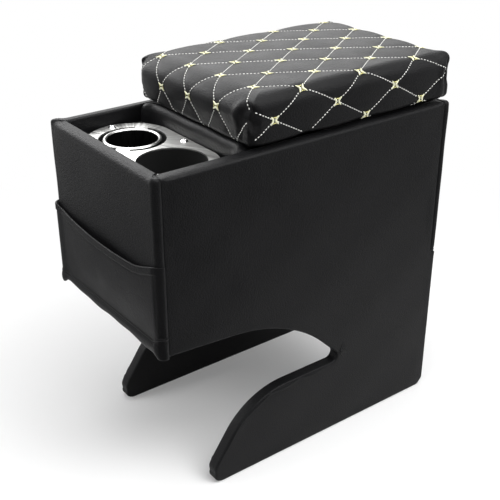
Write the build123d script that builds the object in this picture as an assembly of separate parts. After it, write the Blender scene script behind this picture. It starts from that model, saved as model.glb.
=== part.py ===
from build123d import *
import math
import os

# Car centre armrest: an upholstered plywood box on two C-shaped sides that straddle the tunnel,
# with a pocket and two cup wells at the front and a quilted lid on a piano hinge at the rear.
# Millimetres, +Z up, the front faces -Y. The origin is on the floor under the middle of the part.

# Body
body_width = 204.0
body_length = 376.0
body_height = 370.0
board = 10.0
skin = 2.0
seam_setback = 8.0
box_underside = 188.0

# Side outline, as distances back from the front face and heights above the floor
ear_height = 185.0
arch_bend_back = 157.0
arch_bend_height = 174.0
arch_radius = 190.0
notch_back = 239.0
notch_radius = 7.0
foot_height = 92.5
toe_bend_back = 109.0
toe_radius = 92.0
toe_back = 60.0
toe_height = 22.0
toe_tip_radius = 20.0
toe_sole_radius = 10.0
heel_chamfer = 8.0

# Cup compartment
cup_room = 92.0
plate_drop = 15.0
plate_clearance = 2.0
plate_width = 90.0
plate_thickness = 1.5
flange = 2.5
well_radius = 35.0
well_wall = 2.0
well_depth = 62.0
well_floor_round = 4.0
well_spacing = 75.0
shelf_board = 8.0
shelf_clearance = 1.0
divider_round = 6.8
sleeve_radius = 30.0
sleeve_bore = 26.5
sleeve_proud = 1.0
sleeve_chamfer = 1.2
lug_width = 14.0
lug_height = 12.0
lug_clearance = 0.4
lug_angle = 133.0

# Front pocket
pocket_margin = 3.0
pocket_bottom = 199.0
pocket_top = 276.0
pocket_sag = 1.5
pocket_sheet = 1.5
pocket_bulge_top = 7.0
pocket_bulge_bottom = 3.0
pocket_hem = 3.0

# Lid
lid_setback = 109.0
lid_inset = 3.0
lid_gap = 0.4
lid_height = 51.5
lid_board_thickness = 8.0
lid_board_corner = 24.0
crown_across = 1.5
crown_along = 1.5
lid_front_roll = 24.0
lid_round = 10.0
lid_bottom_round = 5.0
lid_hem = 22.0

# Quilting
quilt_across = 49.5
quilt_along = 78.0
quilt_start = 57.0
stitch_width = 1.4
stitch_height = 0.5

# Piano hinge
hinge_length = 154.0
leaf = 1.2
leaf_width = 12.0
leaf_spacing = 0.8
leaf_edge_round = 1.0
knuckle_radius = 2.5
knuckle_count = 7
knuckle_gap = 0.3
pin_radius = 1.25
pin_running_clearance = 0.05
knuckle_standoff = 0.3

# Screws
panel_screw_head = 3.5
panel_screw_sink = 2.5
panel_screw_shank = 1.75
panel_screw_length = 32.0
panel_screw_margin = 40.0
shelf_screw_inset = 8.0
hinge_screw_head = 2.6
hinge_screw_shank = 1.25
body_hinge_screw_length = 13.0
lid_hinge_screw_length = 9.0
hinge_screw_count = 4
hinge_screw_stagger = 6.0
cup_screw_head = 4.2
cup_screw_dome = 2.6
cup_screw_shank = 1.6
cup_screw_length = 10.0
cup_screw_inset = 6.5
screw_clearance = 0.05

# Places that follow from the sizes
wall = board + 2 * skin
half_width = body_width / 2
board_face = half_width - skin - board
cover_face = half_width - wall
rim_round = 2 * skin
leg_round = 1.25 * skin
hinge_overhang = knuckle_standoff + 2 * knuckle_radius
front_y = -body_length / 2 + (pocket_bulge_top - hinge_overhang) / 2
rear_y = front_y + body_length
divider_y = front_y + wall + cup_room
floor_bottom = box_underside + skin
floor_top = floor_bottom + board
plate_top = body_height - plate_drop
tray_top = plate_top - plate_thickness
plate_length = 2 * (cover_face - plate_clearance)
shelf_top = tray_top - flange
cup_y = front_y + wall + cup_room / 2
well_floor = plate_top - well_depth
lid_bottom = body_height + 2 * leaf + leaf_spacing
divider_top = lid_bottom - lid_gap
divider_board_top = divider_top - wall / 2
lid_front_y = front_y + lid_setback
lid_half_width = half_width - lid_inset
lid_board_top = lid_bottom + skin + lid_board_thickness
pin_y = rear_y + knuckle_standoff + knuckle_radius
pin_z = body_height + leaf + leaf_spacing / 2
hinge_screw_y = rear_y - wall / 2
far = 2 * (body_length + body_height)


def block(x0, x1, y0, y1, z0, z1):
    """Box between two corners."""
    middle = ((x0 + x1) / 2, (y0 + y1) / 2, (z0 + z1) / 2)
    return Pos(*middle) * Box(x1 - x0, y1 - y0, z1 - z0)


def near(value, target):
    """Whether two lengths agree to a hundredth of a millimetre."""
    return abs(value - target) < 0.01


def side_outline():
    """C-shaped side in the YZ plane. It runs one skin below the floor, where the cover is trimmed level."""
    sole = -skin
    corners = [
        (front_y, body_height),
        (front_y, ear_height),
        (front_y + arch_bend_back, arch_bend_height),
        (front_y + notch_back, foot_height),
        (front_y + toe_bend_back, foot_height),
        (front_y + toe_back, toe_height),
        (front_y + toe_back, sole),
        (rear_y - heel_chamfer, sole),
        (rear_y, heel_chamfer),
        (rear_y, body_height),
    ]
    radii = [0, 0, arch_radius, notch_radius, toe_radius, toe_tip_radius, toe_sole_radius, 0, 0, 0]
    return Plane.YZ * make_face(FilletPolyline(*corners, radius=radii, close=True))


def side_block():
    """Right side with its cover: the outline one wall thick, soft at the rim and crisper round the legs."""
    outline = Pos(cover_face, 0, 0) * side_outline()
    solid = extrude(outline, amount=wall, dir=(1, 0, 0))
    rim = []
    for edge in solid.edges():
        at = edge.center()
        upright = near(at.X, half_width) and ear_height < at.Z
        if upright or near(at.Z, body_height):
            rim.append(edge)
    solid = fillet(rim, rim_round)
    legs = []
    for edge in solid.edges():
        at = edge.center()
        on_face = near(at.X, half_width) or near(at.X, cover_face)
        if on_face and 0 < at.Z < ear_height:
            legs.append(edge)
    solid = fillet(legs, leg_round)
    return solid & block(0, far, -far, far, 0, far)


def side_panel():
    """Right plywood side, one skin inside the covered outline."""
    inner = offset(side_outline(), -skin, kind=Kind.INTERSECTION)
    return extrude(Pos(board_face, 0, 0) * inner, amount=board, dir=(1, 0, 0))


def cross_block(y0, z0, z1, radius):
    """A covered cross wall between the sides, its top edges rounded."""
    solid = block(-cover_face, cover_face, y0, y0 + wall, z0, z1)
    return fillet(solid.edges().filter_by(Axis.X).group_by(Axis.Z)[-1], radius)


def cross_board(y0, z0, z1):
    """A plywood wall that butts against both side boards."""
    return block(-board_face, board_face, y0, y0 + board, z0, z1)


def countersunk(head, sink, shank, length):
    """Countersunk screw along +Z, its flat head at the origin."""
    profile = Polyline((0, 0), (head, 0), (shank, sink), (shank, length - shank), (0, length), close=True)
    return revolve(Plane.XZ * make_face(profile), Axis.Z)


def domed(head, dome, shank, length):
    """Round-head screw along -Z, its seat at the origin."""
    profile = [
        Polyline((0, dome), (0, -length), (shank, -length + shank), (shank, 0), (head, 0)),
        RadiusArc((head, 0), (0, dome), -(head**2 + dome**2) / (2 * dome)),
    ]
    return revolve(Plane.XZ * make_face(profile), Axis.Z)


def panel_screw_places():
    """Heights and depths of the screws through each side board, on the middle planes of the cross boards."""
    low = floor_top + panel_screw_margin
    high = shelf_top - shelf_board - panel_screw_margin
    floor_middle = floor_bottom + board / 2
    places = []
    for y in (front_y + skin + board / 2, divider_y + skin + board / 2, rear_y - skin - board / 2):
        places += [(y, low), (y, high)]
    places += [(cup_y, floor_middle), ((divider_y + rear_y) / 2, floor_middle)]
    for y in (front_y + wall + shelf_screw_inset, divider_y - shelf_screw_inset):
        places.append((y, shelf_top - shelf_board / 2))
    return places


def panel_screws(clearance):
    """Screws through both side boards, or their holes if a clearance is given."""
    screw = countersunk(
        panel_screw_head + clearance, panel_screw_sink, panel_screw_shank + clearance, panel_screw_length + clearance
    )
    solids = []
    for y, z in panel_screw_places():
        for side in (1, -1):
            seat = Plane((side * (half_width - skin), y, z), x_dir=(0, 1, 0), z_dir=(-side, 0, 0))
            solids.append(seat * screw)
    return solids


def hinge_screws(z, up, shift, length, clearance):
    """A row of countersunk screws along the hinge, their heads flush with a leaf's inner face at height z."""
    screw = countersunk(hinge_screw_head + clearance, leaf, hinge_screw_shank + clearance, length + clearance)
    pitch = hinge_length / hinge_screw_count
    solids = []
    for i in range(hinge_screw_count):
        x = (i - (hinge_screw_count - 1) / 2) * pitch + shift
        solids.append(Plane((x, hinge_screw_y, z), x_dir=(1, 0, 0), z_dir=(0, 0, up)) * screw)
    return solids


def cup_screw_places():
    """One screw at each end of the plate and one between the wells, on the lid's side."""
    end = plate_length / 2 - cup_screw_inset
    return [(end, cup_y), (-end, cup_y), (0, cup_y + plate_width / 2 - cup_screw_inset)]


def cup_screws(clearance):
    """Domed screws through the plate and the tray into the shelf."""
    screw = domed(cup_screw_head, cup_screw_dome, cup_screw_shank + clearance, cup_screw_length + clearance)
    return [Pos(x, y, plate_top) * screw for x, y in cup_screw_places()]


def obround(length, width, z, height):
    """Plate with semicircular ends at the cup compartment, its underside at height z."""
    return Pos(0, cup_y, z) * extrude(SlotOverall(length, width), height)


def at_wells(radius, z0, z1):
    """A cylinder on each well's axis."""
    cylinder = Cylinder(radius, z1 - z0, align=(Align.CENTER, Align.CENTER, Align.MIN))
    return [Pos(side * well_spacing / 2, cup_y, z0) * cylinder for side in (1, -1)]


def cup_tray():
    """Black moulding: a flange under the plate and two round wells with rounded floors."""
    outside = well_radius + well_wall
    solid = obround(plate_length, plate_width, shelf_top, flange)
    for tub in at_wells(outside, well_floor - well_wall, shelf_top + flange):
        floor_edge = tub.edges().sort_by(Axis.Z)[0]
        solid += fillet(floor_edge, well_floor_round + well_wall)
    for hollow in at_wells(well_radius, well_floor, tray_top + flange):
        floor_edge = hollow.edges().sort_by(Axis.Z)[0]
        solid -= fillet(floor_edge, well_floor_round)
    return solid


def bottle_sleeve():
    """Loose sleeve in the left well: a tube with two lugs at its top that centre it."""
    top = plate_top + sleeve_proud
    height = top - well_floor
    turned = Polyline(
        (sleeve_bore, 0),
        (sleeve_radius, 0),
        (sleeve_radius, height - sleeve_chamfer),
        (sleeve_radius - sleeve_chamfer, height),
        (sleeve_bore + sleeve_chamfer, height),
        (sleeve_bore, height - sleeve_chamfer),
        close=True,
    )
    tube = revolve(Plane.XZ * make_face(turned), Axis.Z)
    reach = well_radius - lug_clearance
    lug_top = height - sleeve_proud
    low = lug_top - lug_height
    ring = Cylinder(reach, lug_height, align=(Align.CENTER, Align.CENTER, Align.MIN))
    ring -= Cylinder((sleeve_radius + sleeve_bore) / 2, lug_height, align=(Align.CENTER, Align.CENTER, Align.MIN))
    lugs = ring & Box(2 * reach, lug_width, 2 * lug_height)
    sleeve = tube + Pos(0, 0, low) * lugs
    return Pos(-well_spacing / 2, cup_y, well_floor) * Rot(0, 0, lug_angle) * sleeve


def bowed(half_chord, sag, z):
    """Flat segment between the front face and an arc that bows out from it, at height z."""
    left = (-half_chord, front_y)
    right = (half_chord, front_y)
    edges = [ThreePointArc(left, (0, front_y - sag), right), Line(right, left)]
    return Pos(0, 0, z) * make_face(edges)


def front_pocket():
    """Bowed sheet, closed along its bottom and ends, open at the top, its top edge dipping in the middle."""
    half = half_width - pocket_margin
    ends = pocket_top + pocket_sag
    outer = loft([bowed(half, pocket_bulge_bottom, pocket_bottom), bowed(half, pocket_bulge_top, ends)])
    hollow_half = half - pocket_hem
    hollow = loft(
        [
            bowed(hollow_half, pocket_bulge_bottom - pocket_sheet, pocket_bottom + pocket_hem),
            bowed(hollow_half, pocket_bulge_top - pocket_sheet, ends),
        ]
    )
    rim = make_face(
        [
            ThreePointArc((-half, ends), (0, pocket_top), (half, ends)),
            Polyline((half, ends), (half, ends + pocket_sag), (-half, ends + pocket_sag), (-half, ends)),
        ]
    )
    above = Pos(0, front_y + pocket_bulge_top, 0) * (Plane.XZ * rim)
    return outer - hollow - extrude(above, amount=3 * pocket_bulge_top, dir=(0, -1, 0))


def pad_block(inset):
    """The lid's cushion shape, shrunk by an inset: a rounded block whose top is crowned both ways."""
    half = lid_half_width - inset
    y0 = lid_front_y + inset
    y1 = rear_y - inset
    top = lid_bottom + lid_height - inset
    bottom = lid_bottom + inset
    low = bottom - lid_height
    along_radius = ((y1 - y0) ** 2 / 4 + crown_along**2) / (2 * crown_along)
    section = make_face(
        [
            ThreePointArc((-half, top - crown_across), (0, top), (half, top - crown_across)),
            Polyline((half, top - crown_across), (half, low), (-half, low), (-half, top - crown_across)),
        ]
    )
    middle = (y0 + y1) / 2
    axis = Axis((0, middle, top - along_radius), (1, 0, 0))
    sweep_angle = math.degrees(2 * (y1 - y0) / along_radius)
    start = (Pos(0, middle, 0) * (Plane.XZ * section)).rotate(axis, -sweep_angle / 2)
    crowned = revolve(start, axis, sweep_angle)
    solid = crowned & block(-half, half, y0, y1, bottom, top + crown_along)
    front_edge = solid.edges().filter_by(lambda edge: near(edge.center().Y, y0)).sort_by(Axis.Z)[-1]
    solid = fillet(front_edge, lid_front_roll - inset)
    upright = solid.edges().filter_by(Axis.Z)
    rear_edge = solid.edges().filter_by(lambda edge: near(edge.center().Y, y1)).sort_by(Axis.Z)[-1]
    solid = fillet(upright + [rear_edge], lid_round - inset)
    return fillet(solid.faces().sort_by(Axis.Z)[0].edges(), lid_bottom_round - inset)


def liner_window():
    """The opening inside the cover's hem under the lid, which the liner fills."""
    half = lid_half_width - lid_hem
    return block(-half, half, lid_front_y + lid_hem, rear_y - lid_hem, lid_bottom, lid_bottom + skin)


def quilt_lines(frame, pitch, origin, half):
    """Thin plates on the diagonals of a diamond pattern, upright on a frame, with one crossing at the origin.

    Counted from the origin, the lines are u / pitch_u + v / pitch_v = k and u / pitch_u - v / pitch_v = k.
    """
    reach = math.ceil(half[0] / pitch[0] + half[1] / pitch[1])
    slope = math.degrees(math.atan2(pitch[1], pitch[0]))
    line = 2 * math.hypot(half[0] + half[1], half[1])
    plates = []
    for k in range(-reach, reach + 1):
        for turn in (slope, -slope):
            at = Pos(origin[0] + k * pitch[0], origin[1], 0)
            plates.append(frame * at * Rot(0, 0, turn) * Box(line, stitch_width, lid_height))
    return plates[0] + plates[1:]


def quilt_stitching():
    """Raised stitch lines on the lid's cover: diamonds on top that carry on down the front and the sides."""
    cover = pad_block(0)
    raised = pad_block(-stitch_height) - cover
    edge = lid_bottom + lid_height - crown_across
    halfway = 1 - math.sqrt(0.5)
    front_quarter = lid_front_roll * halfway
    side_quarter = lid_round * halfway
    outer_x = lid_half_width - side_quarter
    top_y = lid_front_y + front_quarter
    last_y = rear_y - side_quarter
    centre_y = lid_front_y + quilt_start
    half_length = rear_y - centre_y

    top_frame = Pos(0, 0, edge)
    pitch = (quilt_across, quilt_along)
    top_lines = quilt_lines(top_frame, pitch, (0, centre_y), (lid_half_width, half_length))
    pieces = raised & block(-outer_x, outer_x, top_y, last_y, edge - front_quarter, far) & top_lines

    front_frame = Plane((0, lid_front_y, edge), x_dir=(1, 0, 0), z_dir=(0, -1, 0))
    front_start = quilt_start - 2 * front_quarter
    front_lines = quilt_lines(front_frame, pitch, (0, front_start), (lid_half_width, quilt_start))
    pieces += raised & block(-outer_x, outer_x, -far, top_y, lid_bottom, far) & front_lines

    for side in (1, -1):
        x0, x1 = sorted((side * outer_x, side * far))
        side_frame = Plane((side * lid_half_width, 0, edge), x_dir=(0, 1, 0), z_dir=(side, 0, 0))
        side_start = side * (lid_half_width - 2 * side_quarter)
        side_half = (half_length, lid_half_width)
        side_lines = quilt_lines(side_frame, pitch[::-1], (centre_y, side_start), side_half)
        pieces += raised & block(x0, x1, lid_front_y + side_quarter, last_y, lid_bottom, far) & side_lines
    return pieces


def knuckle_row(parity, bore, leaf_z):
    """A hinge leaf: a flat strip, tongues at every other knuckle, and the knuckles with their bore."""
    pitch = hinge_length / knuckle_count
    strip_end = pin_y - knuckle_radius - knuckle_gap
    half = hinge_length / 2
    solid = block(-half, half, rear_y - wall / 2 - leaf_width / 2, strip_end, leaf_z, leaf_z + leaf)
    for i in range(parity, knuckle_count, 2):
        x0 = -half + i * pitch + (knuckle_gap / 2 if i else 0)
        x1 = -half + (i + 1) * pitch - (knuckle_gap / 2 if i < knuckle_count - 1 else 0)
        solid += block(x0, x1, strip_end, pin_y, leaf_z, leaf_z + leaf)
        solid += Pos((x0 + x1) / 2, pin_y, pin_z) * Rot(0, 90, 0) * Cylinder(knuckle_radius, x1 - x0)
    return solid - Pos(0, pin_y, pin_z) * Rot(0, 90, 0) * Cylinder(bore, hinge_length)


# Boards
panel_holes = panel_screws(screw_clearance)
body_screw_holes = hinge_screws(body_height + leaf, -1, -hinge_screw_stagger, body_hinge_screw_length, screw_clearance)
lid_screw_holes = hinge_screws(lid_bottom - leaf, 1, hinge_screw_stagger, lid_hinge_screw_length, screw_clearance)
cup_holes = cup_screws(screw_clearance)

right_side_panel = side_panel() - panel_holes
left_side_panel = mirror(side_panel(), Plane.YZ) - panel_holes
front_board_y = front_y + skin
rear_board_y = rear_y - skin - board
divider_board_y = divider_y + skin
front_panel = cross_board(front_board_y, floor_bottom, body_height - skin) - panel_holes
rear_panel = cross_board(rear_board_y, floor_bottom, body_height - skin) - panel_holes - body_screw_holes
divider_panel = cross_board(divider_board_y, floor_top, divider_board_top) - panel_holes
box_floor = block(-board_face, board_face, front_board_y + board, rear_board_y, floor_bottom, floor_top) - panel_holes
shelf_blank = block(
    -board_face, board_face, front_board_y + board, divider_board_y, shelf_top - shelf_board, shelf_top
)
shelf_holes = at_wells(well_radius + well_wall + shelf_clearance, shelf_top - shelf_board, shelf_top)
cup_shelf = shelf_blank - shelf_holes - panel_holes - cup_holes

# Covers: the covered shapes less the boards, parted along the seams
boards = [
    block(-board_face, board_face, front_board_y, front_board_y + board, floor_bottom, body_height - skin),
    block(-board_face, board_face, rear_board_y, rear_board_y + board, floor_bottom, body_height - skin),
    block(-board_face, board_face, divider_board_y, divider_board_y + board, floor_top, divider_board_top),
    block(-board_face, board_face, front_board_y, rear_board_y + board, floor_bottom, floor_top),
    shelf_blank,
]
under_shelf = block(-board_face, board_face, front_board_y, divider_board_y, floor_bottom, shelf_top)
right_block = side_block()
left_block = mirror(right_block, Plane.YZ)
right_blank = side_panel()
left_blank = mirror(right_blank, Plane.YZ)
front_block = cross_block(front_y, box_underside, body_height, rim_round)
rear_block = cross_block(rear_y - wall, box_underside, body_height, leaf_edge_round)
divider_block = cross_block(divider_y, floor_top, divider_top, divider_round)
front_zone = [
    block(-far, far, front_y - far, front_y + seam_setback, 0, far),
    block(-cover_face, cover_face, front_y - far, front_y + wall, 0, far),
]
rear_zone = [
    block(-far, far, rear_y - seam_setback, rear_y + far, box_underside, far),
    block(-cover_face, cover_face, rear_y - wall, rear_y + far, box_underside, far),
]
hollows = boards + [right_blank, left_blank, under_shelf]
right_side_cover = right_block - hollows - front_zone - rear_zone
left_side_cover = left_block - hollows - front_zone - rear_zone
shell = front_block + rear_block + right_block + left_block
front_cover = (shell & (front_zone[0] + front_zone[1])) - hollows
rear_cover = (shell & (rear_zone[0] + rear_zone[1])) - hollows - body_screw_holes
divider_cover = divider_block - hollows
carpet_y = divider_y + wall
bin_carpet = block(-cover_face, cover_face, carpet_y, rear_y - wall, floor_top, floor_top + skin)
underside_cover = block(-cover_face, cover_face, front_y + wall, rear_y - wall, box_underside, floor_bottom)

# Cup holder
well_openings = at_wells(well_radius, tray_top, plate_top)
cup_plate = obround(plate_length, plate_width, tray_top, plate_thickness) - well_openings - cup_holes

# Lid
pad_core = pad_block(skin)
above_board = block(-far, far, -far, far, lid_board_top, far)
board_plan = RectangleRounded(2 * lid_half_width, rear_y - lid_front_y, lid_board_corner)
board_room = Pos(0, (lid_front_y + rear_y) / 2, lid_bottom) * extrude(board_plan, lid_height)
lid_board_blank = (pad_core & board_room) - above_board
lid_board = lid_board_blank - lid_screw_holes
lid_foam = pad_core - lid_board_blank
lid_cover = pad_block(0) - pad_core - liner_window() - lid_screw_holes

# Hinge
hinge_leaf_body = knuckle_row(0, pin_radius, body_height) - body_screw_holes
hinge_leaf_lid = knuckle_row(1, pin_radius + pin_running_clearance, lid_bottom - leaf) - lid_screw_holes
hinge_pin = Pos(0, pin_y, pin_z) * Rot(0, 90, 0) * Cylinder(pin_radius, hinge_length)

nodes = {
    "right_side_panel": right_side_panel,
    "left_side_panel": left_side_panel,
    "front_panel": front_panel,
    "rear_panel": rear_panel,
    "divider_panel": divider_panel,
    "box_floor": box_floor,
    "cup_shelf": cup_shelf,
    "panel_screws": Compound(children=panel_screws(0)),
    "right_side_cover": right_side_cover,
    "left_side_cover": left_side_cover,
    "front_cover": front_cover,
    "rear_cover": rear_cover,
    "divider_cover": divider_cover,
    "bin_carpet": bin_carpet,
    "underside_cover": underside_cover,
    "front_pocket": front_pocket(),
    "cup_tray": cup_tray() - cup_holes,
    "cup_plate": cup_plate,
    "bottle_sleeve": bottle_sleeve(),
    "cup_screws": Compound(children=cup_screws(0)),
    "lid_board": lid_board,
    "lid_foam": lid_foam,
    "lid_cover": lid_cover,
    "lid_liner": liner_window(),
    "quilt_stitching": quilt_stitching(),
    "hinge_leaf_body": hinge_leaf_body,
    "hinge_leaf_lid": hinge_leaf_lid,
    "hinge_pin": hinge_pin,
    "hinge_screws_body": Compound(
        children=hinge_screws(body_height + leaf, -1, -hinge_screw_stagger, body_hinge_screw_length, 0)
    ),
    "hinge_screws_lid": Compound(
        children=hinge_screws(lid_bottom - leaf, 1, hinge_screw_stagger, lid_hinge_screw_length, 0)
    ),
}

os.makedirs("parts", exist_ok=True)
for name, shape in nodes.items():
    export_step(shape, f"parts/{name}.step")
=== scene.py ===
"""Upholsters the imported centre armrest: quilted lid, leatherette covers, pocket, cup holder and studio."""

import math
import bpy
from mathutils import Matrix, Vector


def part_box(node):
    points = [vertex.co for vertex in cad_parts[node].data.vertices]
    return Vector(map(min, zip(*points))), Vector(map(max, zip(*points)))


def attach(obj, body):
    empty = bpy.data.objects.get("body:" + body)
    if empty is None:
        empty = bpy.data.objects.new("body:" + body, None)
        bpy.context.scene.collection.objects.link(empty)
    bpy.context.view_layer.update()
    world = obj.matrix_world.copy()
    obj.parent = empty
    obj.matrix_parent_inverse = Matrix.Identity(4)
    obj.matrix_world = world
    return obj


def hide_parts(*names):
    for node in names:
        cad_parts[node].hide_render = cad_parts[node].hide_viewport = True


bl_info = {
    "name": "Centre armrest",
    "version": (1, 0, 0),
    "blender": (4, 5, 0),
    "location": "View3D > Sidebar > Armrest",
    "description": "Upholsters the packed armrest and sets up its studio",
    "category": "Object",
}

from typing import NamedTuple

import bpy
import numpy as np
from bpy.props import FloatProperty, FloatVectorProperty, PointerProperty
from bpy.types import Operator, Panel, PropertyGroup
from mathutils import Vector
from mathutils.geometry import delaunay_2d_cdt

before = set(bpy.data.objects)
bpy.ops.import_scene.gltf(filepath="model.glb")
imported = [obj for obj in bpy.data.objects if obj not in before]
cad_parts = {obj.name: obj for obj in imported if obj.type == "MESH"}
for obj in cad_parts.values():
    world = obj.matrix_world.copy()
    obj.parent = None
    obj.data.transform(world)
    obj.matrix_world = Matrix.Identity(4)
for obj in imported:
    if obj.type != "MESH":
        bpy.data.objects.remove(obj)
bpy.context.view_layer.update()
mm = 0.001


def node_box(node):
    """Lowest and highest corner of a CAD node as arrays, in metres."""
    low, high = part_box(node)
    return np.array(low), np.array(high)


# Places from the frame
side_low, side_high = node_box("right_side_cover")
rear_low, rear_high = node_box("rear_cover")
divider_low, divider_high = node_box("divider_cover")
pad_low, pad_high = node_box("lid_cover")
plate_low, plate_high = node_box("cup_plate")
pocket_low, pocket_high = node_box("front_pocket")
sleeve_low, sleeve_high = node_box("bottle_sleeve")
half_width = side_high[0]
cover_face = divider_high[0]
wall = half_width - cover_face
body_top = side_high[2]
front_y = node_box("front_cover")[0][1]
rear_y = rear_high[1]
box_underside = rear_low[2]
seam_setback = side_low[1] - front_y
seam_y = front_y + seam_setback
rear_seam_y = rear_y - seam_setback
pad_middle_y = (pad_low[1] + pad_high[1]) / 2

# Side outline, as distances back from the front face and heights above the floor
ear_height = 185 * mm
arch_bend_back = 157 * mm
arch_bend_height = 174 * mm
arch_radius = 190 * mm
notch_back = 239 * mm
notch_radius = 7 * mm
foot_height = 92.5 * mm
toe_bend_back = 109 * mm
toe_radius = 92 * mm
toe_back = 60 * mm
toe_height = 22 * mm
toe_tip_radius = 20 * mm
toe_sole_radius = 9 * mm
toe_wave = 0.9 * mm
toe_wave_pitch = 12 * mm
toe_wave_reach = 4 * mm
heel_chamfer = 8 * mm
heel_round = 4 * mm
step_round = 2 * mm

# Rounded edges of the covers; a pair is the distances from an edge where a change starts and is full
front_round = 5.5 * mm
rear_round = 3 * mm
leg_round = 2.2 * mm
seam_round = 1.2 * mm
seam_band = 1.5 * mm
tight_band = 5 * mm
side_rim = 4.4 * mm
side_crown = 9.5 * mm
side_rim_band = (12 * mm, 4 * mm)
rim_outside = 6.3 * mm
rim_inside = 3 * mm
rim_corner = 3.6 * mm
rim_corner_band = (9 * mm, 3 * mm)
cover_foot = 2 * mm
corner_fold = 1.2 * mm
corner_fold_inset = 4 * mm
corner_fold_width = 5 * mm

# Unevenness of the covers: height, length and seed of its waves, and the plain band beside an edge
side_wrinkle = (0.5 * mm, 38 * mm, 1.0)
side_wrinkle_band = (3 * mm, 14 * mm)
wall_wrinkle = (0.4 * mm, 30 * mm, 2.0)
wall_wrinkle_band = 12 * mm
outer_skin = 0.02  # share of a wall's thickness that counts as its outer face
divider_wrinkle = (0.3 * mm, 25 * mm, 5.0)
divider_wrinkle_band = 10 * mm
wrinkle_ways = ((2.1, 1.3, 0.7), (-1.1, 2.3, 1.9), (0.9, -1.7, 2.6))

# Folds on the feet, and the fan of short folds in the notch, whose angles are in degrees
fold_pitch = 43 * mm
fold_swing = 4.5 * mm
fold_start = 1.2 * mm
fold_drift = 31 * mm
fold_steady = 0.6
fold_ridge = 1.0 * mm
fold_sink = 0.1 * mm
fold_over_foot = 2 * mm
fold_slope = 0.2
fold_tip = 0.02
fold_least = 0.05
spoke_angles = (-62, -25, 8, 38, 66)
spoke_span = (1 * mm, 11 * mm)
spoke_rise = 1.5 * notch_radius
spoke_flatness = 0.7

# Divider's cushion
divider_crown = 9 * mm
divider_dip = 2.5 * mm
divider_dip_width = 5 * mm
divider_ripple = 0.4 * mm
divider_ripple_length = 11 * mm
divider_swell = 6 * mm
divider_swell_inset = 2 * mm
divider_swell_width = 8 * mm
divider_swell_rise = 60 * mm

# Front pocket: its edges, the belly and the strip below its seam, where it lies flush, and its sewn lines
pocket_sag_power = 0.7
pocket_pull_from = 60 * mm
pocket_foot_waves = ((0.8 * mm, 17 * mm, 0), (0.5 * mm, 7 * mm, 1))
pocket_foot_drop = 2 * mm
pocket_foot_inset = 3 * mm
pocket_seam_lean = 2 * mm
pocket_seam_kick = 5 * mm
pocket_bow_power = 1.25
pocket_belly = 1.2 * mm
pocket_belly_power = 0.3
pocket_strip = 1.6 * mm
pocket_strip_power = 0.6
pocket_gap = 0.3 * mm
pocket_least_gap = 0.15 * mm
pocket_left_lift = 1.6 * mm
pocket_left_from = 84 * mm
pocket_left_inset = 3 * mm
flush_band = (9 * mm, 1 * mm)
flush_cloth = 0.3
flush_hem = 0.4
hem_band = (8 * mm, 6.5 * mm)
hem_fold = 0.9 * mm
hem_groove = 0.35 * mm
hem_groove_place = 7.5 * mm
hem_groove_width = 1.0 * mm
hem_round = 0.5 * mm
hem_back = 1.0 * mm
seam_ridge = 0.9 * mm
seam_ridge_place = 0.8 * mm
seam_groove = 0.6 * mm
seam_groove_place = 1.2 * mm
seam_line_width = 0.8 * mm

# Lid pad
pad_front_roll = 24 * mm
pad_right_roll = 16 * mm
pad_left_roll = 13 * mm
pad_rear_roll = 13 * mm
pad_bottom_roll = 6 * mm
pad_corner = 6 * mm
pad_underlap = 20 * mm
pad_lift = 0.6 * mm
pad_shrink = 0.5 * mm
pad_overhang = 0.5 * mm
front_bulge = 4 * mm
left_bulge = 3 * mm
right_bulge = 1.5 * mm
front_gather = 1.2
right_gather = 1.05
crown_across = 1 * mm
crown_along = 1.5 * mm
corner_shear = 40 * mm

# Tucks at the pad's corners, as lengths of cloth from the top's edge and from the corner
tuck_top = 15 * mm
tuck_foot = 56 * mm
tuck_fade = 8 * mm
tuck_widening = 18 * mm
tuck_narrow = 0.45
tuck_board = (22 * mm, 10 * mm)
tuck_board_hold = 0.75
tuck_lip = 1.2 * mm
tuck_lip_edge = (1 * mm, 4 * mm)
tuck_lip_place = 7 * mm
tuck_lip_width = 4 * mm
tuck_plain_width = 11 * mm
front_tuck = (13 * mm, 4.5 * mm)
right_tuck = (6 * mm, 5 * mm)
hidden_tuck = (8 * mm, 2.5 * mm)
near_sink = 5.5 * mm
far_sink = 1.5 * mm
ear_rise = 3.6 * mm
ear_reach = 9 * mm

# Quilting: places of its pattern on the cloth, and how its height ends on the flaps
quilt_start = 57.5 * mm
quilt_shift = -8.5 * mm
quilt_lean = 0.07
quilt_skew = 0.038
quilt_pivot = 75 * mm
quilt_level = 0.45
quilt_dimple = 0.5
quilt_fade = (58 * mm, 70 * mm)
board_ease = 0.7 * mm
board_span = (36 * mm, 46 * mm)
stitch_lift = 0.15
knot_lift = 0.4
knot_clearance = 0.6

# Knots and their ties, as shares of the knot's width or of the thread's thickness
knot_spread = 0.95
knot_thread = 0.95
knot_blunt = 1.15
tie_place = 0.3
tie_length = 0.4
tie_bow = 0.2
tie_thread = 0.4

# Cells of the pattern that are tried each way from its start
stitch_reach = 8
knot_reach = 6

# Sleeve's painted highlight: a lighter band at its rim, as depths below its top where it starts and is full
sleeve_highlight_band = (1.6 * mm, 1.0 * mm)

# Screw heads' cross recess
slot_half = 0.55 * mm
slot_depth = 0.4 * mm
slot_edge = (1.6, 0.7)
slot_end = (0.66, 0.5)

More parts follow.
